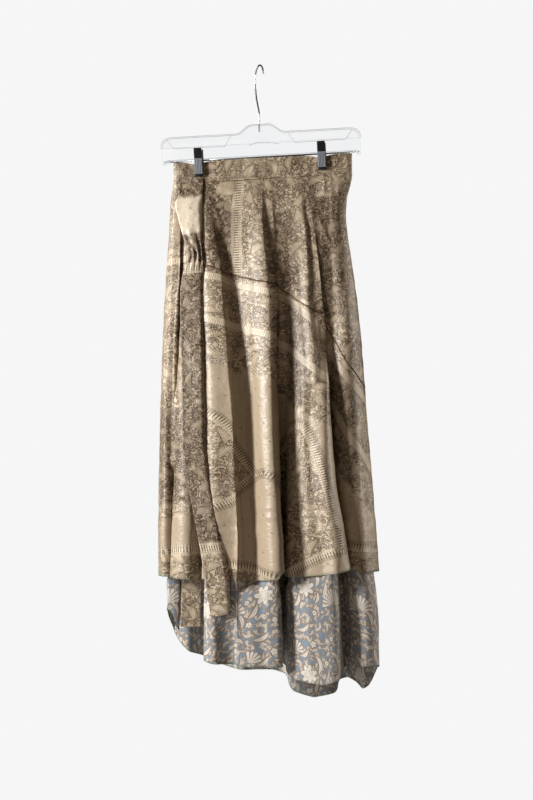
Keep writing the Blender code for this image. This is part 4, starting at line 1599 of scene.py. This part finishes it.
@dataclass
class Tie:
    """A flat strip that hangs from the band."""

    name: str
    sections: Sequence[Section]
    node: str
    finish: Material
    rests_on: str
    creases: tuple[Crease | Swell, ...] = ()
    chart: Chart = Chart()
    cell: float = 2.2 * MM
    lies_on_front: bool = False
    front_x: float = -0.1
    front_top_y: float = -3.1 * MM
    front_hem_y: float = -67.5 * MM
    front_hem_z: float = -0.907
    rumple_size: float = 16 * MM
    pinch_z: float = -0.340
    pinch_reach: float = 0.020
    pleat: float = 1.6 * MM
    pleats: int = 3
    slant: float = 6.0 * MM

    def rows(self) -> dict[str, Array]:
        """The sections' columns, read smoothly along the tie."""
        spots = np.linspace(0, len(self.sections) - 1, 600)
        columns = np.array(self.sections, float).T * MM
        smooth = dict(zip(Section._fields, (smoothed(column, spots) for column in columns)))
        top, foot = columns[0][0], columns[0][-1]
        levels = np.linspace(top, foot, round(abs(foot - top) / self.cell) + 1)
        order = np.argsort(smooth["z"])
        return {
            name: np.interp(levels, smooth["z"][order], column[order])
            for name, column in smooth.items()
        }

    def lie(self, share: Array, z: Array, off: Array) -> Array:
        """The depth of a tie that lies on the front's cloth.

        Args:
            share: each vertex's share of the tie's width.
            z: its height.
            off: how far its section stands off.

        Returns:
            Its y, without the tie's own creases.
        """
        top = band_foot(np.array(self.front_x))
        drop = np.clip((z - top) / (self.front_hem_z - top), 0, 1)
        cloth = self.front_top_y + (self.front_hem_y - self.front_top_y) * drop**DEPTH_POWER
        cup = np.cos((share - 0.5) * math.pi)
        pinch = np.exp(-(((z - self.pinch_z) / self.pinch_reach) ** 2))
        pleats = np.sin(share * self.pleats * 2 * math.pi + 0.6) * pinch * self.pleat
        return cloth - off * (0.7 + 0.3 * cup) - WALL / 2 - pleats

    def build(self) -> Piece:
        """The strip, in place of its solid."""
        rows = self.rows()
        width = float((rows["right"] - rows["left"]).mean())
        across = np.linspace(0, 1, round(width / self.cell) + 1)
        share, z = np.meshgrid(across, rows["z"])
        left, right, off = (rows[name][:, None] for name in ("left", "right", "off"))
        length = rows["z"][0] - z
        spots = np.stack([(share - 0.5) * (right - left), -length], axis=-1)
        ripple = relief(spots, self.creases) + rumple(spots, self.rumple_size, 0.25 * MM, 13)
        if self.lies_on_front:
            y = self.lie(share, z, off) - ripple
            foot = np.clip((length / length.max() - 0.95) * 20, 0, 1)
            z = z - self.slant * (0.5 - share) * foot
        else:
            y = off - WALL / 2 - ripple
        points = np.stack([left + (right - left) * share, y, z], axis=-1)
        sheet = surface(self.name, points, spots, self.finish, self.chart)
        piece = thicken(sheet, 2 * SILK_THICK)
        dress(piece, Slot.SILK, self.node)
        size = (width, float(length.max()))
        log_cut(self.name, *size)
        return piece


# ---- hanger


def tilted(x: float, y: float, z: float) -> Vector:
    """A point of the hanger bar's own frame, in the object's."""
    return Matrix.Rotation(TILT, 3, "Y") @ Vector((x, y, z)) + Vector((0, 0, BAR_PIVOT_Z))


def box(left: float, right: float, foot: float, top: float) -> list[Corner]:
    """The corners of an upright rectangle."""
    return [(left, foot), (right, foot), (right, top), (left, top)]


def plate(
    name: str, corners: Sequence[Corner], thick: float, finish: Material, bevel: float = 0.0,
    segments: int = 2,
) -> Piece:
    """A flat plate in the XZ plane from its outline, half its thickness to each side of y = 0.

    Args:
        name: the piece's name.
        corners: the x and z of its outline.
        thick: its thickness.
        finish: its material.
        bevel: the width of its rounded edges, if they are rounded.
        segments: how finely they are rounded.

    Returns:
        The plate.
    """
    bm = bmesh.new()
    ring = [bm.verts.new((x, thick / 2, z)) for x, z in corners]
    face = bm.faces.new(ring)
    grown = bmesh.ops.extrude_face_region(bm, geom=[face], use_keep_orig=True)
    moved = [item for item in grown["geom"] if isinstance(item, bmesh.types.BMVert)]
    bmesh.ops.translate(bm, verts=moved, vec=(0, -thick, 0))
    bmesh.ops.recalc_face_normals(bm, faces=bm.faces)
    if bevel:
        edges = [edge for edge in bm.edges if edge.calc_face_angle(0) > 0.3]
        rounding = {"offset": bevel, "offset_type": "OFFSET", "segments": segments, "profile": 0.5}
        bmesh.ops.bevel(bm, geom=edges, affect="EDGES", material=-1, **rounding)
    return link(name, mesh_of(name, bm), finish)


def joined(name: str, pieces: Sequence[Piece]) -> Piece:
    """One solid from overlapping ones, as a single mesh."""
    base = pieces[0]
    for other in pieces[1:]:
        cut = base.modifiers.new(other.name, "BOOLEAN")
        cut.operation = "UNION"
        cut.object = other
    graph = bpy.context.evaluated_depsgraph_get()
    mesh = bpy.data.meshes.new_from_object(base.evaluated_get(graph))
    finish = base.data.materials[0]
    for piece in pieces:
        bpy.data.objects.remove(piece)
    mesh.shade_smooth()
    mesh.set_sharp_from_angle(angle=math.radians(35))
    return link(name, mesh, finish)


def tilt_mesh(piece: Piece) -> Piece:
    """Moves a mesh made in the bar's own frame to where the bar hangs."""
    turn = Matrix.Translation((0, 0, BAR_PIVOT_Z)) @ Matrix.Rotation(TILT, 4, "Y")
    piece.data.transform(turn)
    return piece


@dataclass
class Hanger:
    """The clear bar, its wire hook and its rod."""

    clear: Material
    edge: Material
    steel: Material
    drop: float = 40 * MM
    upper: float = 18 * MM
    plate_thick: float = 4 * MM
    upper_thick: float = 9 * MM
    hub_rise: float = 15 * MM
    hub_half_top: float = 17 * MM
    hub_half_foot: float = 38 * MM
    lug_length: float = 9 * MM
    lug_drop: float = 7 * MM

    def outline(self) -> list[Corner]:
        """The bar's thick upper band with the hub, from its lower right corner over to its left."""
        end = ((0, -14), (-2, -8), (-7, -3.2), (-14, -0.6), (-20, 0))
        foot = ((6, 0), (-1, 1.6))
        top = ((8, -4), (3, -1), (-2, 0))
        right = [(BAR_HALF, -self.upper)]
        right += [(BAR_HALF + x * MM, z * MM) for x, z in end]
        right += [(self.hub_half_foot + x * MM, z * MM) for x, z in foot]
        right += [(self.hub_half_top + x * MM, self.hub_rise + z * MM) for x, z in top]
        left = [(-x, z) for x, z in reversed(right)]
        return [(BAR_CENTRE_X + x, z) for x, z in right + left]

    def build_bar(self) -> Piece:
        """The bar as one clear moulding: band, plate, ends and ribs."""
        band = plate("bar_band", self.outline(), self.upper_thick, self.clear, 0.9 * MM)
        foot, lug, top = -self.drop, -self.drop - self.lug_drop, 2 * MM - self.upper
        edge, inner = BAR_HALF - 1 * MM, BAR_HALF - self.lug_length
        lower = ((-edge, lug), (-inner, lug), (-inner, foot), (inner, foot), (inner, lug),
                 (edge, lug), (edge, top), (-edge, top))
        corners = [(BAR_CENTRE_X + x, z) for x, z in lower]
        web = plate("bar_web", corners, self.plate_thick, self.clear, 0.5 * MM, 1)
        return dress(tilt_mesh(joined("hanger_clear_bar", [band, web])), Slot.CLEAR, "hanger_bar")

    def build_edges(self) -> Piece:
        """The moulded edges and ribs that stand out on the bar's front, painted grey as the light that
        the clear edges reflect and bend.
        """
        face = -self.upper_thick / 2
        rim = self.outline()
        recess = ((-165, -3.5), (-153, -20), (-62, -21), (-51.5, -3))
        panels = [[(side * x * MM, z * MM) for x, z in recess] for side in (-1, 1)]
        arch = [(x * MM, z * MM) for x, z in ((-20, -22), (-5, -17), (12, -17.5), (34, -21.5))]
        inner = [(x * 0.985, z - 2.2 * MM) for x, z in rim[1:-1]]
        beads = []
        for number, line in enumerate([rim, inner, *panels, arch]):
            points = [tilted(x, face, z) for x, z in line]
            beads.append(curve(f"bar_bead_{number}", points, 0.4 * MM, self.edge, 4))
        return dress(joined("hanger_bar_beads", beads), Slot.CLEAR)

    def hook_points(self) -> list[Vector]:
        """The hook's line, from the stem's foot to the tip."""
        stem = ((0, -117), (0, -100), (0, -86), (-3, -77), (-8, -67), (-13, -56), (-16.5, -44),
                (-18.5, -31))
        turns = np.radians(np.linspace(-90, 90, 19))
        bow = HOOK_RADIUS * np.stack([np.sin(turns), np.cos(turns)], axis=1)
        bow[:, 1] += WIRE_RADIUS - HOOK_RADIUS
        route = np.concatenate([np.array(stem) * MM, bow])
        spots = np.linspace(0, len(route) - 1, 5 * (len(route) - 1) + 1)
        cosine, sine = math.cos(HOOK_TURN), math.sin(HOOK_TURN)
        flat = zip(*(smoothed(column, spots) for column in route.T))
        return [Vector((across * cosine, across * sine, up)) for across, up in flat]

    def build(self) -> None:
        """Builds and dresses the bar, the hook and the rod."""
        self.build_bar()
        self.build_edges()
        hook = curve("hanger_wire_hook", self.hook_points(), WIRE_RADIUS, self.steel, 6)
        dress(hook, Slot.STEEL, "hanger_hook")
        half = BAR_HALF - 4 * MM
        ends = [tilted(BAR_CENTRE_X - half, 0, ROD_Z), tilted(BAR_CENTRE_X + half, 0, ROD_Z)]
        rod = curve("hanger_steel_rod", ends, WIRE_RADIUS, self.steel, 6)
        dress(rod, Slot.STEEL, "hanger_rod")


@dataclass
class Clip:
    """One sprung clip: two jaws and the sprung strip over them."""

    side: str
    x: float
    rubber: Material
    steel: Material
    width: float = 14 * MM
    top: float = 21 * MM
    foot: float = -29.5 * MM
    spring_top: float = 2.6 * MM
    spring_foot: float = -24.8 * MM
    spring_thick: float = 0.8 * MM
    neck: float = 5 * MM
    back: float = 9.3 * MM
    clear: float = 0.3 * MM
    lean: float = 3.5 * MM
    ribs: int = 5

    def jaw(self, name: str, x: float, sign: int) -> Piece:
        """One jaw, its outline in the plane across the rod carried through its width."""
        grip = 3.1 * MM + BAND_WALL / 2 + self.clear
        hub = WIRE_RADIUS + self.clear
        back, foot = self.back, self.foot
        corners = (
            (back + self.lean, self.top), (back, self.spring_top + 1 * MM), (back, foot + 1.5 * MM),
            (back - 1.5 * MM, foot), (grip, foot), (grip, -3 * MM), (hub, -3 * MM),
            (hub, 1.4 * MM), (grip + 1 * MM, 3 * MM), (back + 1 * MM, self.top),
        )
        pieces = [plate(name, corners, self.width, self.rubber, 0.45 * MM)]
        section = ((-0.6, -0.8), (0.55, -0.5), (0.55, 0.5), (-0.6, 0.8))
        for number in range(self.ribs):
            rise = (4.4 + 3.2 * number) * MM
            depth = back + self.lean * rise / (self.top - self.spring_top)
            rib = [(depth + y * MM, self.spring_top + rise + z * MM) for y, z in section]
            pieces.append(plate(f"{name}_rib_{number}", rib, self.width - 3 * MM, self.rubber))
        made = joined(name, pieces)
        # The plate's x becomes the depth, to the front or back, and its thickness the width.
        turn = Matrix(((0, sign, 0, x), (-sign, 0, 0, 0), (0, 0, 1, ROD_Z), (0, 0, 0, 1)))
        made.data.transform(turn)
        return tilt_mesh(made)

    def spring(self) -> Piece:
        """The sprung strip: a ribbed plate on each jaw, joined by a neck over the rod."""
        face = self.back + self.clear
        middle = face + self.spring_thick / 2
        pieces = []
        foot, top, thick = self.spring_foot, self.spring_top, self.spring_thick
        for sign, x in ((-1, self.x), (1, self.x + CLIP_SKEW)):
            corners = box(x - self.width / 2, x + self.width / 2, foot, top)
            flat = plate("spring_plate", corners, thick, self.steel, 0.15 * MM, 1)
            flat.data.transform(Matrix.Translation((0, sign * middle, 0)))
            pieces.append(flat)
            outer = sign * (face + thick + 0.1 * MM)
            for number in range(self.ribs):
                at = x + (number - 2) * 2.6 * MM
                rib = box(at - 0.6 * MM, at + 0.6 * MM, foot + 1.5 * MM, top - 1.5 * MM)
                ridge = plate("spring_ridge", rib, 0.9 * MM, self.steel, 0.3 * MM)
                ridge.data.transform(Matrix.Translation((0, outer, 0)))
                pieces.append(ridge)
        bridge = box(self.x - self.neck / 2, self.x + self.neck / 2, top - thick, top)
        pieces.append(plate("spring_neck", bridge, 2 * middle, self.steel))
        made = joined(f"clip_{self.side}_strip", pieces)
        made.data.transform(Matrix.Translation((0, 0, ROD_Z)))
        return tilt_mesh(made)

    def build(self) -> None:
        """Builds and dresses the clip."""
        front = self.jaw(f"clip_{self.side}", self.x, 1)
        dress(front, Slot.GRIP, f"clip_{self.side}_front")
        rear = self.jaw(f"clip_{self.side}_rear", self.x + CLIP_SKEW, -1)
        dress(rear, Slot.GRIP, f"clip_{self.side}_back")
        dress(self.spring(), Slot.STEEL, f"clip_{self.side}_spring")


# ---- studio


@dataclass
class Studio:
    """The pale floor, the soft lights and the camera."""

    target: Vector = field(default_factory=lambda: Vector((0.013, 0, -0.594)))
    distance: float = 2.8
    lens: float = 70.8
    floor_z: float = -1.75
    floor_radius: float = 1.6
    backdrop: Colour = (0.92, 0.92, 0.925)
    glow: Colour = (1.0, 0.62, 0.36)
    glow_power: float = 0.05

    def lamp(self, name: str, spot: Sequence[float], size: Corner, power: float, colour: Colour) -> None:
        """A soft rectangular light that faces the skirt.

        Args:
            name: what it is called.
            spot: where it stands.
            size: its width and height.
            power: its power in watts.
            colour: its colour.
        """
        data = bpy.data.lights.new(name, "AREA")
        data.shape = "RECTANGLE"
        data.size, data.size_y = size
        data.energy = power
        data.color = colour
        lamp = bpy.data.objects.new(name, data)
        lamp.location = spot
        lamp.rotation_mode = "QUATERNION"
        lamp.rotation_quaternion = (self.target - Vector(spot)).to_track_quat("-Z", "Y")
        bpy.context.scene.collection.objects.link(lamp)

    def sky(self) -> None:
        """A pale backdrop that shows bright and lights the skirt more dimly."""
        world = bpy.data.worlds.new("studio")
        bpy.context.scene.world = world
        world.use_nodes = True
        tree = world.node_tree
        seen = tree.nodes.new("ShaderNodeBackground")
        seen.inputs["Color"].default_value = (*self.backdrop, 1)
        lit = tree.nodes["Background"]
        lit.inputs["Color"].default_value = (*self.glow, 1)
        lit.inputs["Strength"].default_value = self.glow_power
        path = tree.nodes.new("ShaderNodeLightPath")
        either = tree.nodes.new("ShaderNodeMath")
        either.operation = "MAXIMUM"
        mix = tree.nodes.new("ShaderNodeMixShader")
        for output, socket in (
            (path.outputs["Is Camera Ray"], either.inputs[0]),
            (path.outputs["Is Transmission Ray"], either.inputs[1]), (either.outputs[0], mix.inputs[0]),
            (lit.outputs[0], mix.inputs[1]), (seen.outputs[0], mix.inputs[2]),
            (mix.outputs[0], tree.nodes["World Output"].inputs[0]),
        ):
            tree.links.new(output, socket)

    def build(self) -> None:
        """Makes the floor, the lights and the camera."""
        bm = bmesh.new()
        bmesh.ops.create_circle(bm, cap_ends=True, segments=96, radius=self.floor_radius)
        bmesh.ops.translate(bm, verts=bm.verts, vec=(0, 0, self.floor_z))
        paint = Plain("floor_paint", (0.8, 0.8, 0.8), 0.8, grain=3.0).make()
        link("floor", mesh_of("floor", bm), paint)
        self.sky()
        self.lamp("key", (-2.45, -1.35, 0.15), (0.5, 1.2), 116, (1.0, 0.975, 0.94))
        self.lamp("rim_right", (1.9, 0.3, -0.2), (0.3, 1.6), 20, (1.0, 0.94, 0.86))
        self.lamp("rim_left", (-1.6, 0.8, -0.2), (0.4, 1.6), 8, (1.0, 0.99, 0.97))
        self.lamp("fill", (-0.9, -2.8, 0.0), (1.2, 1.2), 3.4, (1.0, 0.86, 0.70))
        data = bpy.data.cameras.new("camera")
        data.lens = self.lens
        camera = bpy.data.objects.new("camera", data)
        camera.location = self.target + Vector((0, -self.distance, 0))
        camera.rotation_euler = (math.pi / 2, 0, 0)
        bpy.context.scene.collection.objects.link(camera)
        bpy.context.scene.camera = camera
        bpy.context.scene.view_settings.view_transform = "Standard"


# The front's broad folds, from left to right.
FRONT_SWELLS = (
    Swell((3, 13, 24, 28, 32), 42, 17, ((-132, 7), (-126, -22), (-112, -77), (-110, -131), (-121, -202),
        (-129, -271), (-141, -340), (-155, -409), (-174, -477), (-191, -546), (-209, -614), (-224, -665),
        (-236, -730))),
    Swell((-2, -13), 14, 34, ((-112, 7), (-102, -79), (-97, -134), (-98, -206), (-104, -276),
        (-112, -347), (-126, -416), (-141, -485), (-157, -554), (-176, -621), (-190, -671),
        (-196, -730))),
    Swell((10, 24), 32, 8, ((-31, -10), (-24, -38), (-26, -92), (-30, -146), (-37, -216), (-48, -286),
        (-61, -355), (-76, -424), (-93, -493), (-111, -561), (-132, -628), (-151, -679)), 1.6),
    Swell((-9, -19), 18, 48, ((-4, -11), (12, -39), (17, -92), (18, -146), (15, -217), (6, -287),
        (-7, -357), (-16, -428), (-22, -499), (-28, -571), (-34, -643), (-40, -697), (-44, -751))),
    Swell((7, 6), 12, 8, ((42, -13), (47, -40), (50, -94), (47, -148), (43, -219), (47, -290),
        (52, -360))),
    Swell((10, 14, 16, 17), 22, 34, ((60, -13), (66, -40), (66, -94), (66, -148), (66, -219), (70, -289),
        (68, -360), (68, -429), (73, -498), (84, -566), (102, -634), (112, -686), (126, -737)), 1.4),
    Swell((-2, -4), 18, 24, ((92, -12), (96, -92), (98, -147), (104, -218), (106, -288), (106, -358),
        (106, -428), (112, -498), (126, -566), (142, -634))),
    Swell((-2, -4, -4, -2), 40, 20, ((142, -12), (148, -92), (156, -147), (166, -213), (180, -283),
        (192, -352), (204, -421), (216, -489), (228, -556), (244, -624))),
)
# The underskirt's, below the other's hem.
HEM_SWELLS = (
    Swell((22, 22), 44, 50, ((-236, -420), (-232, -720), (-226, -860))),
    Swell((-5, -5), 16, 12, ((-186, -640), (-186, -720), (-184, -860))),
    Swell((7, 7), 14, 8, ((-150, -640), (-150, -730), (-154, -860))),
    Swell((6, 6), 30, 16, ((118, -640), (122, -740), (122, -860))),
    Swell((4, 4), 12, 12, ((60, -640), (64, -740), (60, -860))),
    Swell((5, 5), 16, 16, ((250, -640), (262, -740), (270, -860))),
)
# Its smaller creases.
FRONT_CREASES = FRONT_SWELLS + (
    Crease(5, -2.6, ((54, -40), (59, -94), (58, -148), (56, -219), (61, -290), (63, -350))),
    Crease(5, 2.0, ((-140, -300), (-146, -360), (-158, -430), (-178, -500))),
    Crease(6, 2.0, ((-60, -150), (-72, -260), (-86, -360), (-104, -470), (-120, -560))),
    Crease(5, -2.0, ((-78, -280), (-92, -380), (-108, -470), (-130, -570))),
    Crease(5, -1.8, ((20, -260), (26, -380), (32, -480), (44, -600))),
    Crease(5, 1.8, ((34, -380), (42, -480), (54, -580), (64, -680))),
    Crease(5, 1.6, ((110, -520), (116, -600), (118, -680))),
    Crease(3, 2.0, ((76, -62), (84, -82), (101, -120))),
    Crease(2.5, -1.2, ((-45, -95), (-33, -111), (-18, -119), (2, -123))),
    Crease(3, 1.5, ((-40, -90), (-28, -106), (-14, -113))),
    Crease(3, -1.5, ((0, -170), (20, -178), (36, -170))),
    Crease(3, 1.5, ((-134, 14), (-120, -14), (-104, -44), (-96, -80))),
    Crease(3, 1.6, ((-124, 14), (-110, -10), (-90, -34))),
    Crease(3, 1.4, ((-114, 14), (-98, -2), (-70, -14))),
    Crease(4, 1.8, ((84, 14), (87, -6), (88, -30))),
    Crease(4, 1.6, ((96, 14), (101, -14), (106, -52))),
    Crease(3, 1.6, ((104, 14), (114, -20), (118, -60))),
    Crease(3, 1.2, ((60, 10), (44, 2), (18, 4))),
    Crease(3, -1.4, ((-236, -585), (-212, -586), (-188, -592))),
    Crease(3, 1.4, ((-238, -592), (-214, -594), (-186, -604))),
    Crease(3, -1.4, ((-156, -582), (-136, -578), (-108, -580))),
    Crease(3, 1.4, ((-150, -590), (-130, -587), (-112, -588))),
    Crease(4, 1.6, ((-150, -600), (-158, -612), (-148, -622))),
    Crease(3, 1.8, ((42, -592), (66, -594), (92, -590))),
    Crease(3, -1.8, ((40, -585), (68, -586), (96, -584))),
    Crease(3, 1.6, ((88, -592), (102, -608), (118, -622))),
    Crease(3, 1.4, ((190, -548), (208, -553), (232, -548))),
    Crease(3, 1.2, ((236, -600), (248, -612), (252, -626))),
    Crease(3, 1.2, ((226, -640), (250, -650), (282, -652))),
    Crease(4, 1.4, ((66, -262), (78, -270), (92, -284))),
    Crease(3, -1.2, ((70, -136), (84, -140), (98, -136))),
    Crease(3, 1.2, ((56, -104), (62, -110), (72, -114))),
)
BACK_CREASES = (
    Crease(10, 3.5, ((-122, 0), (-134, -140), (-150, -314), (-165, -500), (-182, -709))),
    Crease(10, -4.0, ((-82, -20), (-86, -200), (-90, -430), (-92, -700))),
    Crease(12, 3.5, ((-28, -40), (-14, -200), (0, -420), (14, -720))),
    Crease(10, -3.5, ((40, -30), (52, -210), (70, -425), (88, -709))),
    Crease(11, 3.5, ((84, 0), (96, -140), (118, -420), (140, -702))),
    Crease(8, -3.0, ((122, 0), (146, -200), (172, -410), (202, -690))),
    Crease(3, 1.5, ((-100, -60), (-80, -76), (-58, -82))),
    Crease(3, 1.4, ((60, -330), (84, -338), (104, -330))),
    Crease(3, 1.4, ((-150, -540), (-128, -552), (-100, -548))),
    Crease(3, 1.4, ((10, -600), (36, -606), (64, -598))),
)
SIDE_CREASES = (
    Swell((15, 9), 24, 5, ((-24, 6), (-21, -82), (-20, -207), (-20, -278), (-20, -349), (-20, -420),
        (-19, -490))),
    Swell((14, 10), 10, 14, ((-50, -470), (-50, -540), (-54, -620), (-56, -700))),
    Swell((4, 5), 26, 14, ((12, -380), (14, -490), (16, -560), (18, -700))),
    Crease(3, 1.4, ((-24, -440), (0, -452), (30, -446))),
    Crease(3, 1.4, ((-20, -560), (6, -552), (30, -558))),
)
TIE_CREASES = (
    Swell((10, 1), 34, 6, ((17, 10), (17, -60), (12, -120), (15, -170))),
    Swell((9, 3), 30, 6, ((12, -150), (15, -200), (15, -420), (14, -760))),
    Crease(5, 2.2, ((-6, -92), (0, -116), (6, -138))),
    Crease(4, -3.2, ((-12, -96), (-4, -120), (2, -140))),
    Crease(4, 2.4, ((-16, -104), (-8, -124), (-2, -142))),
    Crease(4, -2.8, ((8, -90), (10, -116), (9, -138))),
    Crease(5, -2.0, ((-10, 4), (-2, -20), (14, -38))),
    Crease(3, 1.5, ((-18, -292), (0, -297), (18, -290))),
    Crease(3, -1.4, ((-18, -480), (2, -486), (19, -482))),
    Crease(3, 1.4, ((-19, -520), (0, -512), (19, -518))),
)

# The front's print. Its borders run along the cross seam, meet in a cusp low on the left, bow
# over the right panel and follow the hem.
FRONT_CHART = Chart(
    plain=(
        ((-98, 6), (-66, 6), (-70, -14), (-96, -16)),
        ((-250, -272), (-172, -303), (-118, -332), (-60, -353), (0, -400), (40, -424), (72, -436),
         (110, -470), (145, -508), (190, -548), (235, -574), (330, -600), (330, -625), (260, -634),
         (190, -636), (150, -650), (118, -652), (102, -600), (88, -555), (75, -520), (62, -485),
         (50, -455), (38, -437), (25, -434), (8, -440), (-10, -455), (-40, -500), (-88, -555),
         (-98, -524), (-110, -512), (-127, -514), (-138, -497), (-150, -465), (-158, -435), (-172, -405),
         (-195, -377), (-250, -335)),
        ((-290, -560), (-240, -552), (-205, -547), (-180, -538), (-152, -525), (-127, -514), (-110, -511),
         (-98, -522), (-88, -552), (-60, -600), (-50, -720), (-150, -690), (-175, -676), (-200, -663),
         (-230, -651), (-290, -634)),
        ((40, -706), (40, -692), (75, -671), (105, -656), (130, -646), (150, -640), (150, -706)),
    ),
    # Fields of denser print, laid over the fold valleys as painted shade.
    deep=(
        ((-132, 20), (-60, -60), (-92, -150), (-116, -150)),
        ((0, -60), (30, -60), (30, -200), (0, -190)),
        ((70, -40), (118, -20), (124, -240), (74, -250)),
        ((0, -210), (40, -240), (40, -410), (0, -400)),
        ((100, -300), (160, -350), (190, -540), (150, -510), (100, -440)),
    ),
    combs=(
        ((-64, 12), (-67, -40), (-72, -90), (-78, -135), (-84, -168)),
        ((-235, -335), (-195, -377), (-172, -405), (-158, -435), (-150, -465), (-138, -497), (-127, -514),
         (-110, -512), (-98, -523), (-88, -552), (-70, -600)),
        ((-270, -556), (-240, -552), (-205, -547), (-180, -538), (-152, -525), (-127, -514)),
        ((-300, -630), (-250, -645), (-230, -651), (-200, -663), (-175, -676), (-140, -694)),
        ((-30, -480), (-10, -455), (8, -440), (25, -434), (38, -436), (50, -455), (62, -485), (75, -520),
         (88, -555), (102, -600), (115, -645)),
        ((10, -704), (40, -691), (75, -671), (105, -656), (130, -646), (165, -634)),
        ((150, -650), (190, -635), (220, -634), (260, -631), (320, -620)),
    ),
    hatches=(
        ((-160, -143), (-118, -162), (-80, -183), (-28, -203), (0, -213), (20, -226), (50, -255),
         (62, -278), (78, -286), (95, -301), (115, -325), (140, -347), (165, -366), (230, -405)),
        ((-180, -210), (-140, -235), (-118, -245), (-80, -262), (-28, -283), (0, -300), (30, -322),
         (62, -350), (115, -400), (165, -455), (230, -500)),
    ),
)
BACK_CHART = Chart(
    plain=(
        ((-250, -330), (-120, -372), (0, -392), (120, -372), (260, -330), (260, -440), (120, -520),
         (60, -566), (0, -520), (-110, -566), (-170, -520), (-270, -440)),
        ((-290, -560), (-170, -560), (-110, -606), (0, -560), (60, -606), (150, -560), (290, -560),
         (290, -610), (120, -648), (0, -656), (-120, -648), (-290, -610)),
    ),
    combs=(
        ((-280, -450), (-170, -530), (-110, -586), (0, -540), (60, -586), (120, -530), (280, -450)),
        ((-300, -606), (-150, -646), (0, -656), (150, -646), (300, -606)),
        ((-8, 20), (-4, -360)),
    ),
    hatches=(
        ((-240, -400), (-130, -412), (0, -420), (130, -412), (240, -400)),
        ((-220, -290), (-120, -318), (0, -330), (120, -318), (220, -290)),
    ),
)
SIDE_CHART = Chart(
    plain=(
        ((-30, -40), (12, -36), (16, -94), (-28, -100)),
        ((-60, -592), (60, -584), (66, -634), (-60, -642)),
    ),
    # Denser print over the lower side, where painted shade darkens it.
    deep=(
        ((-70, -400), (70, -396), (70, -560), (-70, -568)),
    ),
    combs=(
        ((-70, -650), (70, -642)),
    ),
    hatches=(
        ((-60, -140), (60, -128)),
    ),
)
TIE_CHART = Chart(
    plain=(
        ((-30, -40), (30, -32), (30, -98), (-30, -106)),
    ),
    # Denser print, with painted shade at the knot's gathers.
    deep=(
        ((-30, 10), (30, 10), (30, -26), (-30, -34)),
        ((-30, -104), (30, -96), (30, -150), (-30, -150)),
        ((-30, -175), (30, -175), (30, -640), (-30, -640)),
    ),
    combs=(
        ((-30, -164), (30, -160)),
        ((-30, -655), (30, -650)),
    ),
)


def main() -> None:
    """Builds the skirt, its ties and its hanger, and the studio round them."""
    logging.basicConfig(level=logging.INFO, format="%(message)s")
    thread = Plain("green_thread", (0.20, 0.36, 0.30), 0.6).make()
    brown_thread = Plain("brown_thread", (0.16, 0.10, 0.05), 0.6).make()
    rubber = Plain("black_rubber", (0.012, 0.012, 0.014), 0.45).make()
    steel = Plain("plated_steel", (0.62, 0.64, 0.68), 0.24, 1.0, 900.0, 0.02 * MM).make()
    clear = ClearPlastic().make()
    silk = GoldSilk("gold_silk").make()
    Waistband(GoldSilk("gold_silk_band", shift=0.3).make(), Topstitch(brown_thread)).build()
    Skirt(silk=silk, print=BluePrint("blue_print").make(), overlock=Overlock(thread)).build()
    # A lit copy of the gold silk: the outer tie's plain top is painted lighter, as a painted highlight.
    bright = GoldSilk("gold_silk_tie", dull=(0.80, 0.70, 0.56)).make()
    Tie("outer_tie", OUTER_TIE, "tie_outer", bright, "waist_band", TIE_CREASES, TIE_CHART,
        lies_on_front=True).build()
    Tie("inner_tie", INNER_TIE, "tie_inner", silk, "waist_band").build()
    # Painted reflection: the clear bar's moulded edges are drawn in opaque grey for the light they catch.
    edge = Plain("acrylic_edge", (0.60, 0.62, 0.64), 0.3).make()
    strip = Plain("clip_strip", (0.36, 0.41, 0.46), 0.38, 0.2).make()
    Hanger(clear, edge, steel).build()
    for side, x in zip(("left", "right"), CLIP_X):
        Clip(side, x, rubber, strip).build()
    Studio().build()
    bpy.context.view_layer.update()


if __name__ == "__main__":
    main()
